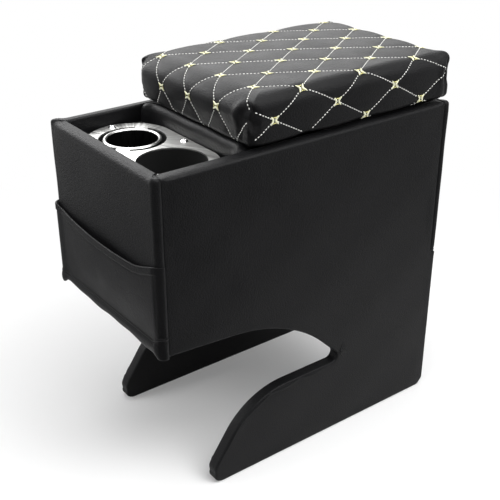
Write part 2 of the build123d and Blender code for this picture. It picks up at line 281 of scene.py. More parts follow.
# Spacing and counts of the meshes
pad_steps = (0.6 * mm, 1.7 * mm)
pad_bands = (12 * mm, 20 * mm)
flap_rows = 60
side_spacing = 2.6 * mm
edge_rings = 8
wrap_step = 2.4 * mm
wrap_band = 16 * mm
wrap_haste = 1.6
wall_rows = 60
wall_stride = 6
arc_points = 9
rim_points = 7
divider_steps = (0.8 * mm, 3 * mm, 14 * mm)
divider_rows = 24
divider_arc = 17
strip_rows = 13
pocket_steps = (0.008, 0.022, 0.12)
fold_step = 1.5 * mm
fold_sides = 8
spoke_points = 9
spoke_sides = 6
bead_points = 5
bead_sides = 6
knot_points = 9
knot_sides = 7
head_rings = 22
head_sides = 48

# Range that most of a noise keeps to
noise_middle = (0.3, 0.7)

# Studio, in metres
floor_half = 40.0
floor_fade = (0.22, 0.8)
floor_glow = (0.12, 1.0)
flag_height = 10 * mm
sensor_width = 36.0  # in millimetres, as Blender wants it


def smoothstep(low, high, value):
    """Smooth ramp from 0 at low to 1 at high."""
    t = np.clip((value - low) / (high - low), 0, 1)
    return t * t * (3 - 2 * t)


def hump(value, place, width):
    """Bell curve: 1 at its place, falling off over its width."""
    return np.exp(-(((value - place) / width) ** 2))


def unit(vectors):
    """Vectors scaled to length one along the last axis."""
    return vectors / np.maximum(np.linalg.norm(vectors, axis=-1, keepdims=True), 1e-12)


def nearest(points, others):
    """Distance from each point to the nearest of some others."""
    return np.sqrt(((points[:, None] - others[None]) ** 2).sum(axis=-1)).min(axis=1)


def clustered(low, high, fine, coarse, band):
    """Values from low to high, a fine step apart within a band at each end and a coarse step between."""
    ends = np.linspace(0, band, round(band / fine), endpoint=False)
    middle = np.linspace(low + band, high - band, round((high - low - 2 * band) / coarse) + 1)
    return np.concatenate([low + ends, middle, high - ends[::-1]])


def wrinkles(points, wave, shift=0):
    """Gentle unevenness of stretched cloth: the mean of a few crossed sine waves, times the wave's height."""
    height, length, seed = wave
    waves = [np.sin(points / length @ way + (i + 1) * (seed + shift)) for i, way in enumerate(wrinkle_ways)]
    return height * sum(waves) / len(waves)


def grid_faces(rows, columns, closed_rows=False, closed_columns=False):
    """Quads of a grid whose points are numbered row by row, joined end to end where closed."""
    r = np.arange(rows if closed_rows else rows - 1)[:, None]
    c = np.arange(columns if closed_columns else columns - 1)[None, :]
    r2 = (r + 1) % rows
    c2 = (c + 1) % columns
    quads = np.stack([r * columns + c, r * columns + c2, r2 * columns + c2, r2 * columns + c], axis=-1)
    return quads.reshape(-1, 4)


def section_faces(rows, columns, turned=False):
    """Faces of a closed section carried along the columns: its skin and a cap at each end."""
    ids = np.arange(rows * columns).reshape(rows, columns)
    faces = [grid_faces(rows, columns, closed_rows=True), ids[None, :, 0], ids[None, ::-1, -1]]
    return [f[:, ::-1] for f in faces] if turned else faces


def mesh_object(name, points, face_sets, body, material, replaced=()):
    """A smooth mesh piece from points and lists of faces, riding on a body and standing for CAD nodes."""
    mesh = bpy.data.meshes.new(name)
    faces = [face for faces in face_sets for face in np.asarray(faces).tolist()]
    mesh.from_pydata(points.reshape(-1, 3).tolist(), [], faces)
    if mesh.validate():
        raise RuntimeError(f"{name}: the mesh had faulty faces")
    mesh.polygons.foreach_set("use_smooth", np.ones(len(mesh.polygons), bool))
    mesh.update()
    piece = bpy.data.objects.new(name, mesh)
    bpy.context.scene.collection.objects.link(piece)
    mesh.materials.append(material)
    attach(piece, body)
    if replaced:
        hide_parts(*replaced)
    return piece


def leather_piece(name, points, faces, replaced=()):
    """A leatherette piece of the base."""
    material = leatherette("folded leatherette")
    return mesh_object(name, points, faces, "base", material, replaced)


def paint(node, material):
    """Gives a CAD node one material."""
    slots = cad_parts[node].data.materials
    slots.clear()
    slots.append(material)


def settings():
    """The add-on's settings on the scene."""
    return bpy.context.scene.armrest


# Shader building


def new_material(name):
    """A new node material, its tree and its Principled shader."""
    material = bpy.data.materials.new(name)
    material.use_nodes = True
    return material, material.node_tree, material.node_tree.nodes["Principled BSDF"]


def add_node(tree, kind, links=(), **values):
    """A node of a kind, with attributes, input values by socket name, and links of (output, input name)."""
    node = tree.nodes.new(kind)
    for key, value in values.items():
        if key in node.bl_rna.properties:
            setattr(node, key, value)
        else:
            node.inputs[key.replace("_", " ")].default_value = value
    for output, name in links:
        tree.links.new(output, node.inputs[name])
    return node


def new_group(name, inputs, outputs):
    """A shader node group with named sockets, as (group, input node, output node)."""
    group = bpy.data.node_groups.new(name, "ShaderNodeTree")
    for socket, kind, default in inputs:
        item = group.interface.new_socket(socket, in_out="INPUT", socket_type=kind)
        if default is not None:
            item.default_value = default
    for socket, kind in outputs:
        group.interface.new_socket(socket, in_out="OUTPUT", socket_type=kind)
    return group, group.nodes.new("NodeGroupInput"), group.nodes.new("NodeGroupOutput")


def leather_grain():
    """Pebbled grain: rounded cells whose borders sink, broken up by noise, with a slow mottle."""
    group = bpy.data.node_groups.get("Leather grain")
    if group:
        return group
    group, inside, outside = new_group(
        "Leather grain",
        [("Vector", "NodeSocketVector", None), ("Cells", "NodeSocketFloat", 700.0)],
        [("Height", "NodeSocketFloat"), ("Mottle", "NodeSocketFloat")],
    )
    place = (inside.outputs["Vector"], "Vector")
    cells = add_node(
        group,
        "ShaderNodeTexVoronoi",
        [place, (inside.outputs["Cells"], "Scale")],
        feature="SMOOTH_F1",
        Smoothness=0.35,
    )
    pores = add_node(group, "ShaderNodeTexNoise", [place], Scale=1400.0, Detail=3.0)
    mottle = add_node(group, "ShaderNodeTexNoise", [place], Scale=28.0, Detail=4.0)
    heights = [(pores.outputs[0], 0), (cells.outputs["Distance"], 1)]
    height = add_node(group, "ShaderNodeMath", heights, operation="SUBTRACT")
    group.links.new(height.outputs[0], outside.inputs["Height"])
    group.links.new(mottle.outputs[0], outside.inputs["Mottle"])
    return group


def map_range(tree, value, from_range, to_range, **options):
    """A value carried from one range to another."""
    node = add_node(tree, "ShaderNodeMapRange", [(value, "Value")], **options)
    for end, start, goal in zip(("Min", "Max"), from_range, to_range):
        node.inputs[f"From {end}"].default_value = start
        node.inputs[f"To {end}"].default_value = goal
    return node.outputs["Result"]


def varied(tree, noise, low, high):
    """Noise, which keeps mostly to its middle, spread over low to high."""
    return map_range(tree, noise, noise_middle, (low, high))


def two_colours(tree, value, dark, light):
    """A colour between two, by a value. The node's colour sockets share names, so they go by number."""
    mix = add_node(tree, "ShaderNodeMix", data_type="RGBA")
    tree.links.new(value, mix.inputs[0])
    mix.inputs[6].default_value = (*dark, 1)
    mix.inputs[7].default_value = (*light, 1)
    return mix.outputs[2]


def tinted(colour, factor):
    """A colour made lighter or darker."""
    return tuple(min(1.0, channel * factor) for channel in colour)


def object_place(tree):
    """The piece's own coordinates."""
    return add_node(tree, "ShaderNodeTexCoord").outputs["Object"]


def stretched_noise(tree, stretch, scale, detail):
    """Noise on the piece's own coordinates, stretched along its axes."""
    drawn = add_node(tree, "ShaderNodeMapping", [(object_place(tree), "Vector")], Scale=stretch)
    noise = add_node(tree, "ShaderNodeTexNoise", [(drawn.outputs[0], "Vector")], Scale=scale, Detail=detail)
    return noise.outputs[0]


def relief(tree, shader, height, strength, depth):
    """Presses a height into a shader's normal."""
    bump = add_node(tree, "ShaderNodeBump", [(height, "Height")], Strength=strength, Distance=depth)
    tree.links.new(bump.outputs["Normal"], shader.inputs["Normal"])


def finish_surface(tree, shader, tone, noise, gloss, strength, depth):
    """Gives a shader its tone, and its gloss and relief from one noise."""
    tree.links.new(tone, shader.inputs["Base Color"])
    tree.links.new(varied(tree, noise, *gloss), shader.inputs["Roughness"])
    relief(tree, shader, noise, strength, depth)


def leatherette(name):
    """Black leatherette: pebbled grain in relief, mottled in colour and gloss."""
    if name in bpy.data.materials:
        return bpy.data.materials[name]
    material, tree, shader = new_material(name)
    look = settings().leather
    grain = add_node(tree, "ShaderNodeGroup", node_tree=leather_grain())
    tree.links.new(object_place(tree), grain.inputs["Vector"])
    grain.inputs["Cells"].default_value = 1 / look.grain
    mottle = grain.outputs["Mottle"]
    relief(tree, shader, grain.outputs["Height"], strength=0.5, depth=look.grain_depth)
    colour = two_colours(tree, mottle, tinted(look.colour, 0.7), tinted(look.colour, 1.4))
    tree.links.new(colour, shader.inputs["Base Color"])
    gloss = varied(tree, mottle, look.roughness - 0.04, look.roughness + 0.06)
    tree.links.new(gloss, shader.inputs["Roughness"])
    shader.inputs["Specular IOR Level"].default_value = look.shine
    return material


def thread_material(name, colour):
    """Twisted sewing thread: slanted ply bands in relief and a slightly uneven dye."""
    material, tree, shader = new_material(name)
    place = [(object_place(tree), "Vector")]
    bands = {"Scale": 900.0, "Distortion": 2.0, "bands_direction": "DIAGONAL"}
    plies = add_node(tree, "ShaderNodeTexWave", place, **bands)
    dye = add_node(tree, "ShaderNodeTexNoise", place, Scale=220.0, Detail=2.0)
    relief(tree, shader, plies.outputs["Fac"], strength=0.4, depth=0.2 * mm)
    tone = two_colours(tree, dye.outputs[0], tinted(colour, 0.75), tinted(colour, 1.15))
    tree.links.new(tone, shader.inputs["Base Color"])
    shader.inputs["Roughness"].default_value = 0.6
    shader.inputs["Sheen Weight"].default_value = 0.2
    return material


def brushed_metal(name, colour, stretch, roughness):
    """Brushed metal: fine scratches drawn out along one axis, seen in colour, gloss and relief."""
    material, tree, shader = new_material(name)
    scratches = stretched_noise(tree, stretch, scale=1.0, detail=5.0)
    tone = two_colours(tree, scratches, tinted(colour, 0.6), tinted(colour, 1.4))
    gloss = (roughness * 0.75, roughness * 1.3)
    finish_surface(tree, shader, tone, scratches, gloss, strength=0.15, depth=0.05 * mm)
    shader.inputs["Metallic"].default_value = 1.0
    return material


def sunray_metal(name):
    """Metal brushed in rays from the left well: scratches are noise over the angle round the well."""
    material, tree, shader = new_material(name)
    from_well = add_node(tree, "ShaderNodeVectorMath", [(object_place(tree), 0)], operation="SUBTRACT")
    from_well.inputs[1].default_value = (sleeve_low + sleeve_high) / 2
    parts = add_node(tree, "ShaderNodeSeparateXYZ", [(from_well.outputs[0], 0)])
    sides = [(parts.outputs["Y"], 0), (parts.outputs["X"], 1)]
    angle = add_node(tree, "ShaderNodeMath", sides, operation="ARCTAN2")
    rays = add_node(tree, "ShaderNodeTexNoise", noise_dimensions="1D", Scale=14.0, Detail=3.0)
    tree.links.new(angle.outputs[0], rays.inputs["W"])
    tone = two_colours(tree, rays.outputs[0], (0.45, 0.45, 0.44), (0.82, 0.82, 0.80))
    gloss = (0.3, 0.48)
    finish_surface(tree, shader, tone, rays.outputs[0], gloss, strength=0.15, depth=0.05 * mm)
    shader.inputs["Metallic"].default_value = 1.0
    return material


def metal_with_painted_highlight(name):
    """Dark satin metal with a painted highlight at its rim: the tone follows the height and is lighter at the
    top, and fine scratches run upwards.
    """
    material, tree, shader = new_material(name)
    parts = add_node(tree, "ShaderNodeSeparateXYZ", [(object_place(tree), 0)])
    highlight_heights = [sleeve_high[2] - depth for depth in sleeve_highlight_band]
    rim = map_range(tree, parts.outputs["Z"], highlight_heights, (0, 1))
    scratches = stretched_noise(tree, stretch=(900, 900, 40), scale=1.0, detail=4.0)
    # The light tone at the top is a painted highlight on the sleeve's rim.
    tone = two_colours(tree, rim, (0.05, 0.05, 0.05), (0.55, 0.55, 0.54))
    gloss = (0.25, 0.4)
    finish_surface(tree, shader, tone, scratches, gloss, strength=0.1, depth=0.05 * mm)
    shader.inputs["Metallic"].default_value = 1.0
    return material


def grained(name, colour, spread, scale, roughness, depth, stretch=(1, 1, 1)):
    """A finish with one noise in colour, gloss and relief, stretched along an axis for wood or nap."""
    material, tree, shader = new_material(name)
    noise = stretched_noise(tree, stretch, scale, detail=6.0)
    tone = two_colours(tree, noise, tinted(colour, 1 - spread), tinted(colour, 1 + spread))
    gloss = (roughness * 0.85, min(1.0, roughness * 1.15))
    finish_surface(tree, shader, tone, noise, gloss, strength=0.4, depth=depth)
    return material


# Quilted lid pad


class Flap(NamedTuple):
    """One flap of the pad's cover: the top's edge that it leaves, its rolls and how it is sewn.

    axis runs along the edge from low to high, and outward is the sign of the other axis. low_roll and
    high_roll are the neighbours' rolls. gather is cloth per length, tuck the width and depth of the fold at
    one end, and sinks the depths of the corners at the tucked end and at the plain end.
    """

    axis: int
    outward: int
    low: float
    high: float
    edge: float
    roll: float
    low_roll: float
    high_roll: float
    bulge: float
    gather: float
    tuck: tuple
    sinks: tuple
    tucked_high: bool


def pad_edges():
    """Edges of the pad's flat top inside its rolled edges: left, right, front and rear."""
    left = pad_low[0] + pad_shrink + pad_left_roll
    right = pad_high[0] - pad_shrink - pad_right_roll
    front = pad_low[1] - pad_overhang + pad_front_roll
    rear = pad_high[1] - pad_shrink - pad_rear_roll
    return left, right, front, rear


def pad_flaps():
    """The four flaps by name. Each is tucked at its right-hand end as seen from outside."""
    left, right, front, rear = pad_edges()
    across = (left, right)
    across_rolls = (pad_left_roll, pad_right_roll)
    along = (front, rear)
    along_rolls = (pad_front_roll, pad_rear_roll)
    hidden = (1, hidden_tuck, (far_sink, far_sink), False)
    front_sewing = (front_gather, front_tuck, (near_sink, far_sink), True)
    right_sewing = (right_gather, right_tuck, (far_sink, near_sink), True)
    return {
        "front": Flap(0, -1, *across, front, pad_front_roll, *across_rolls, front_bulge, *front_sewing),
        "right": Flap(1, 1, *along, right, pad_right_roll, *along_rolls, right_bulge, *right_sewing),
        "rear": Flap(0, 1, *across, rear, pad_rear_roll, *across_rolls, right_bulge, *hidden),
        "left": Flap(1, -1, *along, left, pad_left_roll, *along_rolls, left_bulge, *hidden),
    }


def crown_height(x, y):
    """Height of the pad's top: two parabolas that fall from the middle to the sides and to the ends."""
    across = x / pad_high[0]
    along = (y - pad_middle_y) / (pad_high[1] - pad_middle_y)
    return pad_high[2] - pad_shrink - crown_across * across**2 - crown_along * along**2


def roll_profile(w, roll, bulge, top):
    """Outward travel, height and slope angle after a length w of cloth from the top's edge.

    A quarter circle over the edge, down the side with a sine-shaped bulge, a quarter circle under, inwards.
    """
    bottom = pad_low[2] + pad_lift
    quarter = roll * math.pi / 2
    straight = top - roll - bottom - pad_bottom_roll
    under = pad_bottom_roll * math.pi / 2
    over_angle = np.clip(w / roll, 0, math.pi / 2)
    down = np.clip(w - quarter, 0, straight)
    under_angle = np.clip((w - quarter - straight) / pad_bottom_roll, 0, math.pi / 2)
    inward = np.maximum(w - quarter - straight - under, 0)
    out = roll * np.sin(over_angle) - pad_bottom_roll * (1 - np.cos(under_angle)) - inward
    out = out + bulge * np.sin(math.pi * np.clip(w / (quarter + straight), 0, 1)) ** 2
    height = top - roll * (1 - np.cos(over_angle)) - down - pad_bottom_roll * np.sin(under_angle)
    return out, height, over_angle + under_angle


def hanging_length(roll):
    """Length of cloth from the top's edge to where it turns under."""
    return roll * math.pi / 2 + pad_high[2] - pad_low[2] - pad_shrink - pad_lift - roll - pad_bottom_roll


def shear_length(roll):
    """Extra cloth that takes a flap's last column from the top's corner to the middle of the corner's arc."""
    return roll - pad_corner + pad_corner * math.pi / 4


def corner_shift(along, flap):
    """How far a flap's columns lean towards its ends: cubic within the shear length of each end."""
    from_low = np.clip(1 - (along - flap.low) / corner_shear, 0, 1) ** 3
    from_high = np.clip(1 - (flap.high - along) / corner_shear, 0, 1) ** 3
    return shear_length(flap.high_roll) * from_high - shear_length(flap.low_roll) * from_low


def flap_point(along, w, flap):
    """Points of one flap, from a place along the top's edge and a length w down from it.

    Returns the points, their outward normals, the cloth's own coordinate along the edge and the tucks' depth.
    """
    shift = corner_shift(along, flap)
    foot = np.zeros(np.broadcast(along, w).shape + (2,))
    foot[..., flap.axis] = along
    foot[..., 1 - flap.axis] = flap.edge
    top = crown_height(foot[..., 0], foot[..., 1])
    out, height, angle = roll_profile(w, flap.roll, flap.bulge, top)
    share = np.clip(out / flap.roll, 0, 1)
    cloth = along + shift * share
    low_arc = flap.low - flap.low_roll + pad_corner
    high_arc = flap.high + flap.high_roll - pad_corner
    over = np.clip(cloth - high_arc, 0, None) - np.clip(low_arc - cloth, 0, None)
    turn = over / pad_corner
    pull = pad_corner * (1 - np.cos(turn)) * share
    line = np.clip(cloth, low_arc, high_arc) + pad_corner * np.sin(turn)
    points = np.zeros(foot.shape[:-1] + (3,))
    points[..., flap.axis] = line
    points[..., 1 - flap.axis] = flap.edge + flap.outward * (out - pull)
    points[..., 2] = height
    normals = np.zeros_like(points)
    normals[..., flap.axis] = np.sin(angle) * np.sin(turn) * share
    normals[..., 1 - flap.axis] = np.sin(angle) * np.cos(turn * share) * flap.outward
    normals[..., 2] = np.cos(angle)
    to_low = cloth - flap.low + shear_length(flap.low_roll) * share
    to_high = flap.high + shear_length(flap.high_roll) * share - cloth
    from_tuck, from_plain = (to_high, to_low) if flap.tucked_high else (to_low, to_high)
    return points, unit(normals), cloth, tuck_depth(from_tuck, from_plain, w, flap)


def tuck_depth(from_tuck, from_plain, w, flap):
    """Depth of a flap's corner folds, from the cloth lengths to its two ends and the length down the flap.

    At the tucked end the cloth comes out from the sunk corner to a steep lip and swells a little beside it.
    At the plain end it rounds off to meet the next flap's tuck. All stay shallow over the board.
    """
    width, depth = flap.tuck
    tuck_sink, plain_sink = flap.sinks
    over_board = smoothstep(*tuck_board, tuck_foot - w)
    opening = smoothstep(tuck_top, tuck_top + tuck_fade, w) * (1 - tuck_board_hold * over_board)
    opening = opening * (1 - smoothstep(tuck_foot, tuck_foot + tuck_fade, w))
    widened = smoothstep(tuck_top, tuck_top + tuck_widening, w)
    width = width * (tuck_narrow + (1 - tuck_narrow) * widened)
    ramp = tuck_sink + (depth - tuck_sink) * smoothstep(0, width, from_tuck)
    inner_edge, outer_edge = tuck_lip_edge
    pocket = ramp * (1 - smoothstep(width - inner_edge, width + outer_edge, from_tuck))
    lip = tuck_lip * hump(from_tuck, width + tuck_lip_place, tuck_lip_width)
    plain = plain_sink * (1 - smoothstep(0, tuck_plain_width, from_plain))
    return opening * (pocket - lip + plain)


def cloth_from_pattern(p, q):
    """Cloth coordinates for the quilting's own ones: the pattern leans and skews a little."""
    u = quilt_shift + p - quilt_skew * (q - quilt_pivot)
    v = pad_low[1] + quilt_start + q + quilt_lean * p
    return u, v


def pattern_from_cloth(u, v):
    """The quilting's own coordinates across and along, for cloth coordinates."""
    du = u - quilt_shift - quilt_skew * quilt_pivot
    dv = v - pad_low[1] - quilt_start
    scale = 1 + quilt_skew * quilt_lean
    return (du + quilt_skew * dv) / scale, (dv - quilt_lean * du) / scale


def quilt_height(u, v):
    """Puffed diamonds: the height rises from each line as 1 - exp(-distance) and sinks at crossings."""
    look = settings().quilt
    p, q = pattern_from_cloth(u, v)
    a = p / look.across + q / look.along
    b = p / look.across - q / look.along
    spacing = look.across * look.along / math.hypot(look.across, look.along)
    near_a = np.abs(a - np.round(a)) * spacing
    near_b = np.abs(b - np.round(b)) * spacing
    rise = (1 - np.exp(-near_a / look.shoulder)) * (1 - np.exp(-near_b / look.shoulder))
    dimple = np.exp(-np.hypot(near_a, near_b) / look.shoulder)
    return look.puff * (rise - quilt_level) - quilt_dimple * look.puff * dimple


def flap_height(u, v, w):
    """Height of a flap's quilting: it eases out over the lid's board and fades under it."""
    ease = board_ease * smoothstep(*board_span, w)
    return (quilt_height(u, v) + ease) * (1 - smoothstep(*quilt_fade, w))


def corner_ear(points):
    """Upward shift of the pad's rear right corner, where the folded cloth stands up as a bell-shaped ear."""
    corner = pad_high - (pad_corner, pad_corner, ear_reach)
    rise = ear_rise * np.exp(-(((points - corner) / ear_reach) ** 2).sum(axis=-1))
    return rise[..., None] * np.array([0, 0, 1])


def dressed_flap(flap, along, w):
    """A flap with its quilting and folds, as points."""
    points, normals, cloth, depth = flap_point(along, w, flap)
    reach = flap.edge + flap.outward * w * flap.gather + np.zeros_like(cloth)
    u, v = (cloth, reach) if flap.axis == 0 else (reach, cloth)
    points = points + normals * (flap_height(u, v, w) - depth)[..., None]
    return points + corner_ear(points)


def quilted_pad():
    """The lid's cover as one closed skin: a crowned top with four flaps rolled over its edges and under."""
    left, right, front, rear = pad_edges()
    side_band, end_band = pad_bands
    xs = clustered(left, right, *pad_steps, side_band)
    ys = clustered(front, rear, *pad_steps, end_band)
    x, y = np.meshgrid(xs, ys)
    top = np.stack([x, y, crown_height(x, y) + quilt_height(x, y)], axis=-1)
    rows, columns = x.shape
    numbers = np.arange(rows * columns).reshape(rows, columns)
    w = np.linspace(0, pad_high[2] - pad_low[2] + pad_underlap, flap_rows)[1:, None]
    flaps = pad_flaps()
    walk = (("front", xs), ("right", ys), ("rear", xs[::-1]), ("left", ys[::-1]))
    skirt = np.concatenate([dressed_flap(flaps[name], line[None, :-1], w) for name, line in walk], axis=1)
    rim = np.concatenate([numbers[0, :-1], numbers[:-1, -1], numbers[-1, :0:-1], numbers[:0:-1, 0]])
    below = rows * columns + np.arange(len(w) * len(rim)).reshape(len(w), len(rim))
    rings = np.concatenate([rim[None, :], below])
    following = np.roll(rings, -1, axis=1)
    sides = np.stack([rings[:-1], rings[1:], following[1:], following[:-1]], axis=-1).reshape(-1, 4)
    bottom = rings[-1][None, ::-1]
    pad = mesh_object(
        "quilted_lid_cover",
        np.concatenate([top.reshape(-1, 3), skirt.reshape(-1, 3)]),
        [grid_faces(rows, columns), sides, bottom],
        "lid",
        leatherette("quilted leatherette"),
        ["lid_cover", "lid_foam"],
    )
    return pad


def cloth_places(u, v):
    """Points and normals on the dressed pad for cloth coordinates, and which of them lie on the cover.

    On a flap the column is found by halving, since the columns lean towards the corners.
    """
    halvings = 40
    tolerance = 0.5 * mm
    deepest = 0.85 * near_sink
    left, right, front, rear = pad_edges()
    points = np.zeros(u.shape + (3,))
    normals = np.zeros(u.shape + (3,))
    sunk = np.zeros(u.shape)
    puffed = quilt_height(u, v)
    shown = (u >= left) & (u <= right) & (v >= front) & (v <= rear)
    points[shown] = np.stack([u, v, crown_height(u, v)], axis=-1)[shown]
    normals[shown] = (0, 0, 1)
    for flap in pad_flaps().values():
        cloth, reach = (u, v) if flap.axis == 0 else (v, u)
        w = (reach - flap.edge) * flap.outward / flap.gather
        here = (w > 0) & (w < hanging_length(flap.roll) + pad_bottom_roll)
        here &= cloth > flap.low - flap.low_roll + pad_corner / 2
        here &= cloth < flap.high + flap.high_roll - pad_corner / 2
        least = np.full(cloth.shape, flap.low)
        most = np.full(cloth.shape, flap.high)
        share = np.clip(roll_profile(w, flap.roll, flap.bulge, pad_high[2])[0] / flap.roll, 0, 1)
        for _ in range(halvings):
            middle = (least + most) / 2
            short = middle + corner_shift(middle, flap) * share < cloth
            least = np.where(short, middle, least)
            most = np.where(short, most, middle)
        placed, outwards, laid, depth = flap_point((least + most) / 2, w, flap)
        here &= (np.abs(laid - cloth) < tolerance) & (depth < deepest)
        points[here] = placed[here]
        normals[here] = outwards[here]
        sunk[here] = depth[here]
        puffed[here] = flap_height(u, v, w)[here]
        shown |= here
    points += normals * (puffed - sunk)[..., None]
    return points + corner_ear(points), normals, shown


def tubes(runs, normals, swell, flatness, sides):
    """Closed tubes along runs of points: rings of a given number of sides, flattened along the normals."""
    along = unit(np.gradient(runs, axis=1))
    across = unit(np.cross(normals, along))
    turn = np.linspace(0, 2 * math.pi, sides, endpoint=False)
    ring = runs[:, :, None, :] + (swell[:, None] * np.cos(turn))[None, :, :, None] * across[:, :, None, :]
    ring = ring + (flatness * swell[:, None] * np.sin(turn))[None, :, :, None] * normals[:, :, None, :]
    stations = runs.shape[1]
    count = stations * sides
    shift = (np.arange(len(runs)) * count)[:, None, None]
    one = grid_faces(stations, sides, closed_columns=True)
    first = np.arange(sides)
    caps = np.stack([first[::-1], first + count - sides])
    return ring.reshape(-1, 3), [(one[None] + shift).reshape(-1, 4), (caps[None] + shift).reshape(-1, sides)]


def beads(centres, along, normals, half_length, radius):
    """Sewn stitches: a short capsule for each centre, laid along the cloth and flattened on to it.

    Each capsule is a ring carried along a few stations whose radius follows half an ellipse.
    """
    roundness = 0.85
    flatness = 0.8
    stations = np.linspace(-1, 1, bead_points)
    runs = centres[:, None, :] + (stations * half_length)[None, :, None] * along[:, None, :]
    swell = radius * np.sqrt(np.clip(1 - roundness * stations**2, 0, 1))
    return tubes(runs, np.repeat(normals[:, None, :], len(stations), axis=1), swell, flatness, bead_sides)


def stitch_lines():
    """Cloth coordinates of each stitch on the two families of lines, its half step and distance to a knot."""
    look = settings().quilt
    span = math.hypot(look.across, look.along)
    per_cell = round(span / (look.stitch + look.stitch_gap))
    lines = np.arange(-stitch_reach, stitch_reach + 1)
    k, cell, n = np.meshgrid(lines, lines, np.arange(per_cell), indexing="ij")
    step = (cell + (n + 0.5) / per_cell).ravel()
    from_knot = np.abs(step - np.round(step)) * span
    half = look.stitch / 2 / span
    families = []
    for sign in (1, -1):
        p = (k.ravel() + step) * look.across
        q = sign * step * look.along
        here = cloth_from_pattern(p, q)
        ahead = cloth_from_pattern(p + half * look.across, q + sign * half * look.along)
        families.append((*here, ahead[0] - here[0], ahead[1] - here[1], from_knot))
    return [np.concatenate(parts) for parts in zip(*families)]


def quilt_stitches():
    """Rows of single stitches along the quilting, with a knot at each crossing.

    A knot is two threads bent as branches of a hyperbola. Its ties are two short bent threads across it.
    """
    look = settings().quilt
    u, v, step_u, step_v, from_knot = stitch_lines()
    points, normals, shown = cloth_places(u, v)
    ahead, _, shown_ahead = cloth_places(u + step_u, v + step_v)
    behind, _, shown_behind = cloth_places(u - step_u, v - step_v)
    kept = shown & shown_ahead & shown_behind & (from_knot > look.knot * knot_clearance)
    along = unit(ahead[kept] - behind[kept])
    sewn = points[kept] + normals[kept] * look.thread * stitch_lift
    stitches, faces = beads(sewn, along, normals[kept], look.stitch / 2, look.thread / 2)
    cream = thread_material("cream thread", look.thread_colour)
    mesh_object("quilt_stitches", stitches, faces, "lid", cream, ["quilt_stitching"])
    tau = np.linspace(-1, 1, knot_points)
    bent = tau * look.knot / 2
    bowed = np.sqrt((look.knot_gap / 2) ** 2 + (knot_spread * bent) ** 2)
    taper = np.sqrt(np.clip(knot_blunt - tau**2, 0, 1))
    pale = thread_material("pale yellow thread", look.knot_colour)
    knot_threads("quilt_knots", np.stack([bent, bowed]), look.thread * knot_thread * taper, pale)
    tie = np.stack([look.knot * tie_place + tie_bow * np.abs(bent), bent * tie_length])
    yellow = thread_material("yellow thread", look.tie_colour)
    knot_threads("quilt_knot_ties", tie, look.thread * tie_thread * taper, yellow)


def knot_threads(name, branch, swell, material):
    """Two mirrored threads at each crossing, from one branch's cloth offsets across and along."""
    flatness = 0.7
    look = settings().quilt
    lines = np.arange(-knot_reach, knot_reach + 1)
    i, j = np.meshgrid(lines, lines)
    even = (i + j) % 2 == 0
    u, v = cloth_from_pattern(i[even] * look.across / 2, j[even] * look.along / 2)
    offsets = np.concatenate([branch, -branch], axis=1)
    points, normals, shown = cloth_places(u[:, None] + offsets[0], v[:, None] + offsets[1])
    kept = shown.all(axis=1)
    runs = (points[kept] + normals[kept] * look.thread * knot_lift).reshape(-1, branch.shape[1], 3)
    points, faces = tubes(runs, normals[kept].reshape(runs.shape), swell, flatness, knot_sides)
    return mesh_object(name, points, faces, "lid", material)


# Side covers


def rounded_loop(corners, radii, step):
    """Closed outline: straight runs with a tangent arc at each corner, in points about a step apart."""
    corners = np.asarray(corners, float)
    before = unit(np.roll(corners, 1, axis=0) - corners)
    after = unit(np.roll(corners, -1, axis=0) - corners)
    half = np.arccos(np.clip((before * after).sum(axis=1), -1, 1)) / 2
    radii = np.asarray(radii, float)
    tangent = radii / np.tan(half)
    starts = corners + before * tangent[:, None]
    ends = corners + after * tangent[:, None]
    centres = corners + unit(before + after) * (radii / np.sin(half))[:, None]
    following = np.roll(starts, -1, axis=0)
    runs = []
    for i, radius in enumerate(radii):
        sweep = math.pi - 2 * half[i]
        s = np.linspace(0, 1, max(2, math.ceil(radius * sweep / step)))[:, None]
        first = starts[i] - centres[i]
        last = ends[i] - centres[i]
        arc = (np.sin((1 - s) * sweep) * first + np.sin(s * sweep) * last) / math.sin(sweep)
        ahead = following[i] - ends[i]
        t = np.linspace(0, 1, max(2, math.ceil(np.linalg.norm(ahead) / step)), endpoint=False)[1:, None]
        runs += [centres[i] + arc, ends[i] + t * ahead]
    return np.concatenate(runs)


def side_loop(step):
    """Outline of a side cover in the YZ plane, parted from the front and rear covers along their seams.

    Along the toe it swells in small half sine waves.
    """
    corners_and_radii = [
        ((seam_y, body_top), step_round),
        ((seam_y, ear_height), step_round),
        ((front_y + arch_bend_back, arch_bend_height), arch_radius),
        ((front_y + notch_back, foot_height), notch_radius),
        ((front_y + toe_bend_back, foot_height), toe_radius),
        ((front_y + toe_back, toe_height), toe_tip_radius),
        ((front_y + toe_back, 0), toe_sole_radius),
        ((rear_y - heel_chamfer, 0), heel_round),
        ((rear_y, heel_chamfer), heel_round),
        ((rear_y, box_underside), step_round),
        ((rear_seam_y, box_underside), step_round),
        ((rear_seam_y, body_top), step_round),
    ]
    loop = rounded_loop(*zip(*corners_and_radii), step)
    at_toe = (loop[:, 0] < front_y + toe_back + toe_wave_reach) & (loop[:, 1] < 3 * toe_height)
    loop[:, 0] -= toe_wave * np.abs(np.sin(math.pi * loop[:, 1] / toe_wave_pitch)) * at_toe
    return loop


def inside_loop(points, loop):
    """Whether points lie inside a closed loop, by counting the loop's crossings to one side of each."""
    y, z = points[:, None, 0], points[:, None, 1]
    y0, z0 = loop[None, :, 0], loop[None, :, 1]
    y1, z1 = np.roll(loop, -1, axis=0).T[:, None, :]
    spans = (z0 > z) != (z1 > z)
    rise = np.where(z1 == z0, 1, z1 - z0)
    crossing = y0 + (z - z0) / rise * (y1 - y0)
    return (spans & (y < crossing)).sum(axis=1) % 2 == 1


